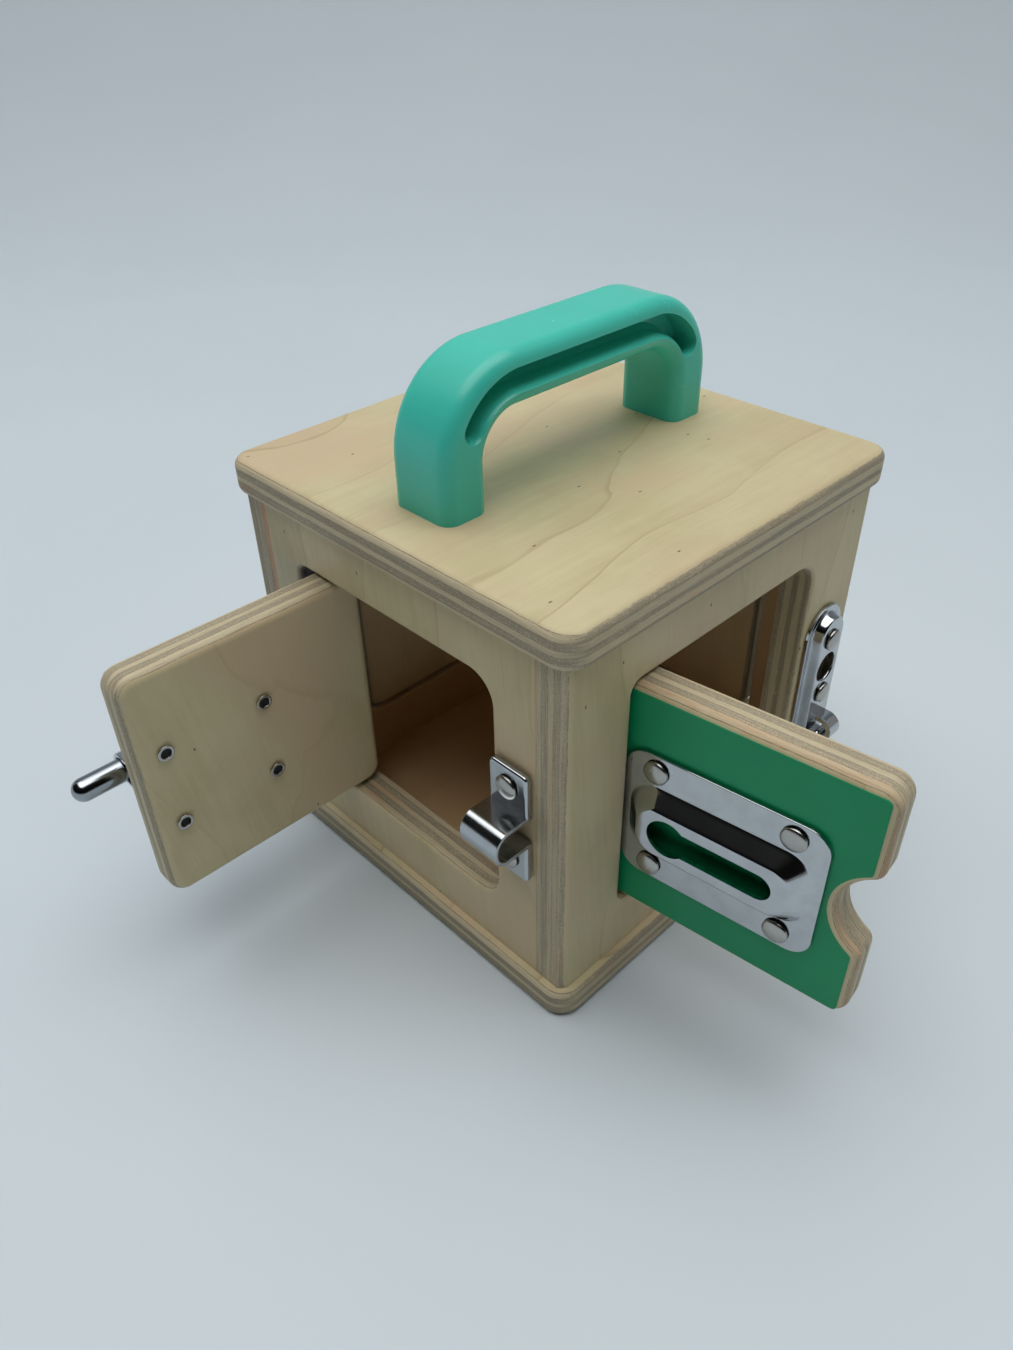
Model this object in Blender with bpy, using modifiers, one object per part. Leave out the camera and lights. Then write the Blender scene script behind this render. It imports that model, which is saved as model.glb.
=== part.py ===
"""Wooden latch box: a plywood cube with a door in each wall, each door held by another kind of latch.

Metres, +Z up. The origin is the middle of the base's footprint, on the surface that the box stands on.
The front is the -Y wall. Every wall is laid out in its own flat frame, seen from outside: u to the right,
v up and w out of the wall, from the wall's outer face. The four frames are a quarter turn apart.
The doors hang at the left of their openings, and the front and right doors stand open.
"""
import math

import bmesh
import bpy
from mathutils import Matrix, Vector

# Carcass
PANEL_SPAN = 0.125
BOX_HEIGHT = 0.125
PLY = 0.010
OVERHANG = 0.0025
PANEL_CORNER = 0.0065
PANEL_ARRIS = 0.0025
WALL_ARRIS = 0.0022
SEAM = 0.0003
SHEET_SEAM = 0.0003
RUNNING_GAP = 0.0003
OVERRUN = 0.0020

# Door openings: the wall left beside them, their sill's height, and the rail left over them
HINGE_JAMB = 0.0218
LATCH_JAMB = 0.0240
OPENING_SILL = 0.0275
HEAD_RAIL = 0.0248
OPENING_CORNER = 0.0075
OPENING_HINGE_CORNER = 0.0032

# Doors
DOOR_HINGE_GAP = 0.0022
DOOR_LATCH_GAP = 0.0018
DOOR_SILL_GAP = 0.0008
DOOR_HEAD_GAP = 0.0005
DOOR_CORNER = 0.0050
DOOR_ARRIS = 0.0024
FACING_THICKNESS = 0.0003
FACING_MARGIN = 0.0020
FACING_CORNER = 0.0015
AXIS_DEPTH = 0.0036
AXIS_INSET = 0.0056
TRACK_AXIS_DEPTH = 0.0053
TRACK_AXIS_INSET = 0.0040
FRONT_DOOR_OPEN = math.radians(90.4)
RIGHT_DOOR_OPEN = math.radians(83.1)
NOTCH_RADIUS = 0.0130
NOTCH_OUTSET = 0.0052
NOTCH_SHOULDER = 0.0035

# Hinge pins
HINGE_PIN_RADIUS = 0.00125
HINGE_PIN_IN_DOOR = 0.0080
HINGE_PIN_IN_WALL = 0.0070

# Latches
LATCH_DROP = 0.00065
RIVET_RADIUS = 0.0016
RIVET_HEAD_RADIUS = 0.00325
RIVET_HEAD_HEIGHT = 0.0012
RIVET_TAIL_RADIUS = 0.00225
RIVET_TAIL_HEIGHT = 0.0006
RIVET_BORE_RADIUS = 0.0011
RIVET_BORE_DEPTH = 0.0030

# Barrel bolt on the front door
BOLT_RADIUS = 0.0032
BOLT_LENGTH = 0.0502
BOLT_THROW = 0.0120
BOLT_AXIS_RISE = 0.0065
BOLT_PLATE_WIDTH = 0.0417
BOLT_PLATE_HEIGHT = 0.0326
BOLT_PLATE_RISE = 0.0007
BOLT_PLATE_CORNER = 0.0067
BOLT_PLATE_EDGE = 0.0005
BOLT_PLATE_DEPTH = 0.0028
BOLT_SHEET = 0.0011
BOLT_STRAP_WIDTH = 0.0080
BOLT_STRAP_EDGE = 0.0012
BOLT_RIVET_SPAN = 0.0283
BOLT_RIVET_RISE = 0.0234
BOLT_RIVET_EDGE = 0.0077
BOLT_KNOB_STEM_RADIUS = 0.0022
BOLT_KNOB_TENON_RADIUS = 0.0014
BOLT_KNOB_HEAD_RADIUS = 0.0046
BOLT_KNOB_HEAD_HEIGHT = 0.0055
BOLT_KNOB_STEM_LENGTH = 0.0046
BOLT_KNOB_BACKSET = 0.0282

# Keeper on the front wall
KEEPER_WIDTH = 0.0125
KEEPER_SETBACK = 0.0013
KEEPER_TOP = 0.0174
KEEPER_FOOT = 0.0173
KEEPER_DEPTH = 0.0025
KEEPER_LOOP_TOP = 0.0047
KEEPER_LOOP_FOOT = 0.0054
KEEPER_LOOP_REACH = 0.0127
KEEPER_NOSE_DEPTH = 0.0042
KEEPER_SHEET = 0.0011
KEEPER_RIVET_OFFSET = 0.0116

# Keyhole track on the right door
TRACK_FIRST_EDGE = 0.0075
TRACK_FAR_EDGE = 0.0109
TRACK_HEIGHT = 0.0394
TRACK_DROP = 0.0004
TRACK_CORNER = 0.0060
TRACK_SHEET = 0.0009
TRACK_RISE = 0.0050
TRACK_CHANNEL_HEIGHT = 0.0219
TRACK_CHANNEL_START = 0.0020
TRACK_CHANNEL_END = 0.0019
TRACK_END_SLOPE = 0.00495
TRACK_PLATEAU_HEIGHT = 0.0133
TRACK_PLATEAU_CORNER = 0.0045
TRACK_RIVET_EDGE = 0.0085
TRACK_RIVET_RISE = 0.0302
KEYHOLE_RADIUS = 0.0054
KEYHOLE_FROM_EDGE = 0.0148
KEYHOLE_SLOT_RADIUS = 0.0038
KEYHOLE_FAR_EDGE = 0.0137

# Chain anchor on the right wall
ANCHOR_SETBACK = 0.0098
ANCHOR_HALF_WIDTH = 0.0083
ANCHOR_TOP = 0.0822
ANCHOR_FOOT = 0.0345
ANCHOR_SHEET = 0.0009
ANCHOR_RISE = 0.0040
ANCHOR_FLANGE = 0.0022
ANCHOR_SLOPE = 0.0016
ANCHOR_HOLE_RADIUS = 0.0052
ANCHOR_HOLE_HEIGHT = 0.0628
ANCHOR_UPPER_RIVET_HEIGHT = 0.0725
ANCHOR_LOWER_RIVET_HEIGHT = 0.0537
TONGUE_WIDTH = 0.0050
TONGUE_SHEET = 0.0012
TONGUE_REACH = 0.0106
TONGUE_HEIGHT = 0.0084

# Chain
CHAIN_WIRE_RADIUS = 0.0009
CHAIN_PITCH = 0.0090
CHAIN_SLACK = 0.0004
CHAIN_HANGING_LINKS = 4
CHAIN_TAIL_TURN = math.radians(30)
CHAIN_KNOB_RADIUS = 0.0049
CHAIN_KNOB_DOME = 0.0024
CHAIN_KNOB_NECK_RADIUS = 0.0028
CHAIN_KNOB_NECK_LENGTH = 0.0026
CHAIN_KNOB_COLLAR_RADIUS = 0.0042
CHAIN_KNOB_COLLAR_LENGTH = 0.0014
CHAIN_KNOB_EYE_LENGTH = 0.0036
CHAIN_FLOOR_GAP = 0.0002

# Carrying handle
HANDLE_SETBACK = 0.01425
HANDLE_WIDTH = 0.0205
HANDLE_HEIGHT = 0.0360
HANDLE_BAR = 0.0135
HANDLE_BEND = 0.0240
HANDLE_ARRIS = 0.0032
HANDLE_OFFSET_X = 0.0015
HANDLE_OFFSET_Y = -0.00075
GROOVE_WIDTH = 0.0058
GROOVE_DEPTH = 0.0040
GROOVE_SWEEP = math.radians(62)
HANDLE_SCREW_RADIUS = 0.0020
HANDLE_SCREW_HEAD_RADIUS = 0.0038
HANDLE_SCREW_HEAD_HEIGHT = 0.0022
HANDLE_SCREW_BITE = 0.0150

# Turn button and knob on the left side
BUTTON_LENGTH = 0.0300
BUTTON_WIDTH = 0.0110
BUTTON_THICKNESS = 0.0060
BUTTON_ARRIS = 0.0015
BUTTON_STANDOFF = 0.0015
BUTTON_BOSS_RADIUS = 0.0034
BUTTON_PIVOT_BACKSET = 0.0085
BUTTON_SCREW_RADIUS = 0.0017
BUTTON_SCREW_HEAD_RADIUS = 0.0034
BUTTON_SCREW_HEAD_HEIGHT = 0.0018
BUTTON_SCREW_BITE = 0.0070
PULL_RADIUS = 0.0075
PULL_NECK_RADIUS = 0.0042
PULL_HEIGHT = 0.0130
PULL_NECK_HEIGHT = 0.0050
PULL_BACKSET = 0.0130
PULL_TENON_RADIUS = 0.0025
PULL_TENON_LENGTH = 0.0065

# Swivel latch on the back side
SWIVEL_PLATE_WIDTH = 0.0140
SWIVEL_PLATE_HEIGHT = 0.0360
SWIVEL_PLATE_SHEET = 0.0016
SWIVEL_PLATE_CORNER = 0.0030
SWIVEL_PLATE_BACKSET = 0.0030
SWIVEL_RIVET_RISE = 0.0270
SWIVEL_HUB_RADIUS = 0.0048
SWIVEL_HUB_HEIGHT = 0.0040
SWIVEL_PIVOT_RADIUS = 0.0018
SWIVEL_ARM_REACH = 0.0190
SWIVEL_ARM_WIDTH = 0.0064
SWIVEL_ARM_SHEET = 0.0016
SWIVEL_TAIL_REACH = 0.0140
SWIVEL_KNOB_RADIUS = 0.0040
SWIVEL_KNOB_STEM_RADIUS = 0.0018
SWIVEL_KNOB_STEM_LENGTH = 0.0030

# How finely round shapes are stepped
CORNER_STEPS = 4
ARRIS_STEPS = 1
TURN_STEPS = 16
RIVET_STEPS = 8
FULL_TURN = 2 * math.pi
QUARTER_TURN = math.pi / 2

# Sizes that follow from the ones above
HALF_WALL = PANEL_SPAN / 2 - OVERHANG
WALL_FOOT = PLY + SEAM
WALL_TOP = BOX_HEIGHT - PLY - SEAM
OPENING_HINGE_SIDE = HALF_WALL - HINGE_JAMB
OPENING_LATCH_SIDE = HALF_WALL - LATCH_JAMB
OPENING_HEAD = BOX_HEIGHT - HEAD_RAIL
LATCH_HEIGHT = (OPENING_SILL + OPENING_HEAD) / 2 - LATCH_DROP
HANDLE_LENGTH = PANEL_SPAN - 2 * HANDLE_SETBACK
DOOR_WIDTH = OPENING_HINGE_SIDE + OPENING_LATCH_SIDE - DOOR_HINGE_GAP - DOOR_LATCH_GAP
DOOR_FOOT = OPENING_SILL + DOOR_SILL_GAP
DOOR_TOP = OPENING_HEAD - DOOR_HEAD_GAP
DOOR_HINGE_EDGE = DOOR_HINGE_GAP - OPENING_HINGE_SIDE
KEEPER_FIRST_EDGE = OPENING_LATCH_SIDE + KEEPER_SETBACK
TRACK_WIDTH = DOOR_WIDTH - TRACK_FIRST_EDGE - TRACK_FAR_EDGE
TRACK_CHANNEL_WIDTH = TRACK_WIDTH - TRACK_CHANNEL_START - TRACK_CHANNEL_END
TRACK_PLATEAU_WIDTH = TRACK_CHANNEL_WIDTH - 2 * TRACK_END_SLOPE
TRACK_RIVET_SPAN = TRACK_WIDTH - 2 * TRACK_RIVET_EDGE
KEYHOLE_SLOT_END = TRACK_WIDTH - KEYHOLE_FROM_EDGE - KEYHOLE_FAR_EDGE
ANCHOR_CENTRE = OPENING_LATCH_SIDE + ANCHOR_SETBACK
RIVET_HOLE_RADIUS = RIVET_RADIUS + RUNNING_GAP
WELD = RUNNING_GAP / 100
LINK_EYE_RADIUS = CHAIN_WIRE_RADIUS * 2 + CHAIN_SLACK
CHAIN_FLOOR_HEIGHT = CHAIN_KNOB_RADIUS + CHAIN_FLOOR_GAP
CHAIN_TOP_HEIGHT = CHAIN_FLOOR_HEIGHT + CHAIN_HANGING_LINKS * CHAIN_PITCH

# Stands a flat drawing on its side: its x becomes v, its y becomes w, and its depth runs along u
ON_ITS_SIDE = Matrix(((0, 0, 1, 0), (1, 0, 0, 0), (0, 1, 0, 0), (0, 0, 0, 1)))

WOOD = (0.78, 0.66, 0.46, 1.0)
GREEN = (0.05, 0.42, 0.20, 1.0)
BLUE = (0.06, 0.25, 0.55, 1.0)
YELLOW = (0.85, 0.62, 0.08, 1.0)
RED = (0.72, 0.12, 0.06, 1.0)
MINT = (0.10, 0.62, 0.47, 1.0)
CHROME = (0.75, 0.76, 0.78, 1.0)
ZINC = (0.55, 0.56, 0.58, 1.0)


def clear_scene():
    for thing in list(bpy.data.objects):
        bpy.data.objects.remove(thing, do_unlink=True)


def new_collection(name):
    made = bpy.data.collections.new(name)
    bpy.context.scene.collection.children.link(made)
    return made


def material(name, colour, roughness, metallic=0.0):
    made = bpy.data.materials.new(name)
    made.use_nodes = True
    shader = made.node_tree.nodes["Principled BSDF"]
    shader.inputs["Base Color"].default_value = colour
    shader.inputs["Roughness"].default_value = roughness
    shader.inputs["Metallic"].default_value = metallic
    return made


clear_scene()
PARTS = new_collection("wooden_latch_box")
CUTTERS = new_collection("cutters")


def finish(thing, colour, roughness, metallic=0.0):
    thing.data.materials.clear()
    thing.data.materials.append(material(thing.name, colour, roughness, metallic))
    return thing


def wooden(thing, colour=WOOD):
    return finish(thing, colour, 0.6)


def plated(thing):
    return finish(thing, CHROME, 0.15, 1.0)


def empty(name, location, turn=0.0, parent=None):
    made = bpy.data.objects.new(name, None)
    PARTS.objects.link(made)
    made.location = location
    made.rotation_euler = (0.0, 0.0, turn)
    made.parent = parent
    return made


def mesh_object(name, mesh, cutter=False):
    made = bpy.data.objects.new(name, mesh)
    (CUTTERS if cutter else PARTS).objects.link(made)
    if cutter:
        made.hide_render = True
        made.display_type = "WIRE"
    return made


def shade(mesh):
    mesh.shade_smooth()
    mesh.set_sharp_from_angle(angle=math.radians(35))


def mesh_from(thing):
    """The evaluated mesh of an object that is then removed, with its loose caps welded on."""
    bpy.context.view_layer.update()
    depsgraph = bpy.context.evaluated_depsgraph_get()
    mesh = bpy.data.meshes.new_from_object(thing.evaluated_get(depsgraph))
    data = thing.data
    bpy.data.objects.remove(thing, do_unlink=True)
    if isinstance(data, bpy.types.Curve):
        bpy.data.curves.remove(data)
    shaped = bmesh.new()
    shaped.from_mesh(mesh)
    bmesh.ops.remove_doubles(shaped, verts=shaped.verts, dist=WELD)
    bmesh.ops.recalc_face_normals(shaped, faces=shaped.faces)
    shaped.to_mesh(mesh)
    shaped.free()
    shade(mesh)
    return mesh



def arc(centre_u, centre_v, radius, start, end, steps=CORNER_STEPS):
    """Points along an arc, both ends among them."""
    turns = [start + (end - start) * step / steps for step in range(steps + 1)]
    return [(centre_u + radius * math.cos(a), centre_v + radius * math.sin(a)) for a in turns]


def rounded_rectangle(left, foot, right, top, radius, left_radius=None):
    """Points round a rectangle with rounded corners, whose two left ones may have a radius of their own."""
    other = radius if left_radius is None else left_radius
    points = arc(right - radius, foot + radius, radius, -QUARTER_TURN, 0.0)
    points += arc(right - radius, top - radius, radius, 0.0, QUARTER_TURN)
    points += arc(left + other, top - other, other, QUARTER_TURN, 2 * QUARTER_TURN)
    points += arc(left + other, foot + other, other, 2 * QUARTER_TURN, 3 * QUARTER_TURN)
    return points


def slab_mesh(name, outlines, thickness, arris=0.0):
    """A flat plate from a closed outline and any holes in it, from -thickness to 0, with rounded arrises."""
    curve = bpy.data.curves.new(name, "CURVE")
    curve.dimensions = "2D"
    curve.fill_mode = "BOTH"
    curve.extrude = thickness / 2 - arris
    curve.bevel_depth = arris
    curve.bevel_resolution = ARRIS_STEPS
    curve.offset = -arris
    for points in outlines:
        spline = curve.splines.new("POLY")
        spline.points.add(len(points) - 1)
        for point, (u, v) in zip(spline.points, points):
            point.co = (u, v, 0.0, 1.0)
        spline.use_cyclic_u = True
    thing = bpy.data.objects.new(name, curve)
    PARTS.objects.link(thing)
    mesh = mesh_from(thing)
    mesh.transform(Matrix.Translation((0.0, 0.0, -thickness / 2)))
    return mesh


def turned_mesh(name, profile, steps=TURN_STEPS):
    """A turned solid about local Z from (radius, height) points, from its top to its foot, both on the axis."""
    mesh = bpy.data.meshes.new(name)
    edges = [(index, index + 1) for index in range(len(profile) - 1)]
    mesh.from_pydata([(radius, 0.0, height) for radius, height in profile], edges, [])
    thing = bpy.data.objects.new(name, mesh)
    PARTS.objects.link(thing)
    screw = thing.modifiers.new("turn", "SCREW")
    screw.steps = steps
    screw.render_steps = steps
    screw.use_merge_vertices = True
    screw.merge_threshold = WELD
    return mesh_from(thing)


def cylinder_mesh(name, radius, foot, top, steps=TURN_STEPS):
    mesh = bpy.data.meshes.new(name)
    shaped = bmesh.new()
    bmesh.ops.create_cone(
        shaped, cap_ends=True, segments=steps, radius1=radius, radius2=radius, depth=top - foot,
        matrix=Matrix.Translation((0.0, 0.0, (top + foot) / 2)),
    )
    shaped.to_mesh(mesh)
    shaped.free()
    shade(mesh)
    return mesh


def copies_mesh(name, mesh, places):
    """One mesh that holds a copy of another at each place."""
    made = bpy.data.meshes.new(name)
    shaped = bmesh.new()
    for place in places:
        copy = mesh.copy()
        copy.transform(Matrix.Translation(place))
        shaped.from_mesh(copy)
        bpy.data.meshes.remove(copy)
    shaped.to_mesh(made)
    shaped.free()
    shade(made)
    return made


def boolean(thing, other, operation="DIFFERENCE"):
    modifier = thing.modifiers.new(other.name, "BOOLEAN")
    modifier.operation = operation
    modifier.solver = "EXACT"
    modifier.object = other


def seat(thing, parent, location, rotation=(QUARTER_TURN, 0.0, 0.0)):
    thing.parent = parent
    thing.location = location
    thing.rotation_euler = rotation
    return thing


class Side:
    """One wall with its opening and its door, in the flat frame described at the top."""

    def __init__(self, name, quarter, axis_depth, axis_inset, opened, notched, facing_colour):
        self.name = name
        self.axis_depth = axis_depth
        self.axis_inset = axis_inset
        self.notched = notched
        self.facing_colour = facing_colour
        self.frame = empty(f"{name}_side", (0.0, 0.0, 0.0), quarter * QUARTER_TURN)
        self.axis_u = DOOR_HINGE_EDGE + axis_inset
        self.axis_y = axis_depth - HALF_WALL
        self.pivot = empty(f"{name}_door_axis", (self.axis_u, self.axis_y, 0.0), -opened, self.frame)

    def on_wall(self, thing, u=0.0, v=0.0, w=0.0):
        return seat(thing, self.frame, (u, -HALF_WALL - w, v))

    def on_door(self, thing, u=0.0, v=0.0, w=0.0):
        """Here u starts at the door's hinge edge, and w at the door's outer face."""
        return seat(thing, self.pivot, (u - self.axis_inset, -self.axis_depth - w, v))


FRONT = Side("front", 0, AXIS_DEPTH, AXIS_INSET, FRONT_DOOR_OPEN, False, BLUE)
RIGHT = Side("right", 1, TRACK_AXIS_DEPTH, TRACK_AXIS_INSET, RIGHT_DOOR_OPEN, True, GREEN)
BACK = Side("back", 2, AXIS_DEPTH, AXIS_INSET, 0.0, False, YELLOW)
LEFT = Side("left", 3, AXIS_DEPTH, AXIS_INSET, 0.0, False, RED)
SIDES = (FRONT, RIGHT, BACK, LEFT)


def panel(name, top):
    half = PANEL_SPAN / 2
    outline = rounded_rectangle(-half, -half, half, half, PANEL_CORNER)
    thing = mesh_object(name, slab_mesh(name, [outline], PLY, PANEL_ARRIS))
    thing.location = (0.0, 0.0, top)
    return wooden(thing)


def opening_outline():
    return rounded_rectangle(
        -OPENING_HINGE_SIDE, OPENING_SILL, OPENING_LATCH_SIDE, OPENING_HEAD, OPENING_CORNER,
        OPENING_HINGE_CORNER,
    )


def weigh_wall_edges(mesh, half_width, ends_rounded):
    """Marks the arrises of the opening, and of the wall's ends where they show, for rounding."""
    shaped = bmesh.new()
    shaped.from_mesh(mesh)
    bmesh.ops.dissolve_limit(shaped, angle_limit=math.radians(1), verts=shaped.verts, edges=shaped.edges)
    weights = shaped.edges.layers.float.new("bevel_weight_edge")
    for edge in shaped.edges:
        if len(edge.link_faces) != 2 or edge.calc_face_angle(0.0) < math.radians(60):
            continue
        ends = [vertex.co for vertex in edge.verts]
        inside = all(abs(co.x) < half_width - WALL_ARRIS and WALL_FOOT < co.y < WALL_TOP for co in ends)
        inside = inside and all(WALL_FOOT + WALL_ARRIS < co.y < WALL_TOP - WALL_ARRIS for co in ends)
        upright = all(abs(co.x) > half_width - WALL_ARRIS and co.z > -WALL_ARRIS for co in ends)
        upright = upright and abs(ends[0].y - ends[1].y) > PLY
        if inside or (ends_rounded and upright):
            edge[weights] = 1.0
    shaped.to_mesh(mesh)
    shaped.free()


def wall(side, half_width, ends_rounded):
    name = f"{side.name}_wall"
    outer = [(-half_width, WALL_FOOT), (half_width, WALL_FOOT)]
    outer += [(half_width, WALL_TOP), (-half_width, WALL_TOP)]
    mesh = slab_mesh(name, [outer, opening_outline()], PLY)
    weigh_wall_edges(mesh, half_width, ends_rounded)
    thing = side.on_wall(mesh_object(name, mesh))
    bevel = thing.modifiers.new("arrises", "BEVEL")
    bevel.limit_method = "WEIGHT"
    bevel.width = WALL_ARRIS
    bevel.segments = ARRIS_STEPS + 1
    bevel.use_clamp_overlap = False
    return wooden(thing)


def door_outline(notched, margin=0.0, corner=DOOR_CORNER):
    """The door's outline from its hinge edge, drawn in by a margin, with or without the finger notch."""
    left, right = margin, DOOR_WIDTH - margin
    foot, top = DOOR_FOOT + margin, DOOR_TOP - margin
    outline = rounded_rectangle(left, foot, right, top, corner)
    if not notched:
        return outline
    radius = NOTCH_RADIUS + margin
    shoulder = NOTCH_SHOULDER - margin
    centre_u = DOOR_WIDTH + NOTCH_OUTSET
    across = centre_u - right + shoulder
    reach = radius + shoulder
    rise = math.sqrt(reach * reach - across * across)
    lean = math.atan2(rise, across)
    lower = arc(right - shoulder, LATCH_HEIGHT - rise, shoulder, 0.0, lean)
    bite = arc(centre_u, LATCH_HEIGHT, radius, math.pi + lean, math.pi - lean, 2 * CORNER_STEPS)
    upper = arc(right - shoulder, LATCH_HEIGHT + rise, shoulder, -lean, 0.0)
    lower_corner = CORNER_STEPS + 1
    return outline[:lower_corner] + lower + bite[1:-1] + upper + outline[lower_corner:]


def door(side):
    """The panel, with its coloured facing let in flush with the outer face's plane."""
    name = f"{side.name}_door"
    backing = FACING_THICKNESS + SHEET_SEAM
    leaf = mesh_object(name, slab_mesh(name, [door_outline(side.notched)], PLY - backing, DOOR_ARRIS))
    wooden(side.on_door(leaf, w=-backing))
    facing_name = f"{side.name}_door_facing"
    outline = door_outline(side.notched, FACING_MARGIN, FACING_CORNER)
    facing = mesh_object(facing_name, slab_mesh(facing_name, [outline], FACING_THICKNESS))
    finish(side.on_door(facing), side.facing_colour, 0.35)
    return leaf, facing


def hinge_pins(side, leaf, wall_piece):
    """A pin above and one below the door, half in the door and half in the wall."""
    name = f"{side.name}_hinge_pins"
    length = HINGE_PIN_IN_DOOR + HINGE_PIN_IN_WALL
    holes_radius = HINGE_PIN_RADIUS + RUNNING_GAP
    lower_foot = OPENING_SILL - HINGE_PIN_IN_WALL
    upper_top = OPENING_HEAD + HINGE_PIN_IN_WALL
    feet = (lower_foot, upper_top - length)
    for which, foot in zip(("lower", "upper"), feet):
        pin_name = f"{side.name}_hinge_pin_{which}"
        pin = mesh_object(pin_name, cylinder_mesh(pin_name, HINGE_PIN_RADIUS, 0.0, length))
        finish(seat(pin, side.frame, (side.axis_u, side.axis_y, foot), (0.0, 0.0, 0.0)), ZINC, 0.4, 1.0)
    place = (side.axis_u, side.axis_y, 0.0)
    hole = cylinder_mesh(f"{name}_hole", holes_radius, -RUNNING_GAP, length + RUNNING_GAP)
    holes_mesh = copies_mesh(f"{name}_holes", hole, [(0.0, 0.0, foot) for foot in feet])
    holes = mesh_object(f"{name}_holes", holes_mesh, cutter=True)
    seat(holes, side.frame, place, (0.0, 0.0, 0.0))
    boolean(leaf, holes)
    boolean(wall_piece, holes)


def rivet_mesh(name, grip):
    """A domed rivet whose head's underside is at w = 0 and whose hollow tail is formed past the grip."""
    dome_steps = 2
    foot = -grip - RIVET_TAIL_HEIGHT
    dome = [
        (RIVET_HEAD_RADIUS * math.sin(a), RIVET_HEAD_HEIGHT * math.cos(a))
        for a in (QUARTER_TURN * step / dome_steps for step in range(dome_steps + 1))
    ]
    shank = [(RIVET_RADIUS, 0.0), (RIVET_RADIUS, -grip)]
    tail = [(RIVET_TAIL_RADIUS, -grip), (RIVET_TAIL_RADIUS, foot), (RIVET_BORE_RADIUS, foot)]
    bore = [(RIVET_BORE_RADIUS, foot + RIVET_BORE_DEPTH), (0.0, foot + RIVET_BORE_DEPTH)]
    return turned_mesh(name, dome + shank + tail + bore, RIVET_STEPS)


def rivets(name, put, places, seat_height, pierced):
    """Rivets through the pieces that they hold, with their heads at a height above the outer face."""
    grip = seat_height + PLY + 2 * SEAM
    for number, (u, v) in enumerate(places):
        rivet_name = f"{name}_{number + 1}"
        plated(put(mesh_object(rivet_name, rivet_mesh(rivet_name, grip)), u, v, seat_height + SEAM))
    hole_top = seat_height + OVERRUN
    hole = cylinder_mesh(f"{name}_hole", RIVET_HOLE_RADIUS, -PLY - OVERRUN, hole_top, RIVET_STEPS)
    cutter_mesh = copies_mesh(f"{name}_holes", hole, [(u, v, 0.0) for u, v in places])
    cutter = put(mesh_object(f"{name}_holes", cutter_mesh, cutter=True))
    for piece in pierced:
        boolean(piece, cutter)


def grid(centre_u, centre_v, span, rise):
    return [(centre_u + i * span / 2, centre_v + j * rise / 2) for i in (-1, 1) for j in (-1, 1)]


def carcass():
    panel("base_panel", PLY)
    lid = panel("top_panel", BOX_HEIGHT)
    between = HALF_WALL - PLY - SEAM
    walls = {
        "front": wall(FRONT, between, False),
        "back": wall(BACK, between, False),
        "right": wall(RIGHT, HALF_WALL, True),
        "left": wall(LEFT, HALF_WALL, True),
    }
    return lid, walls


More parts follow.
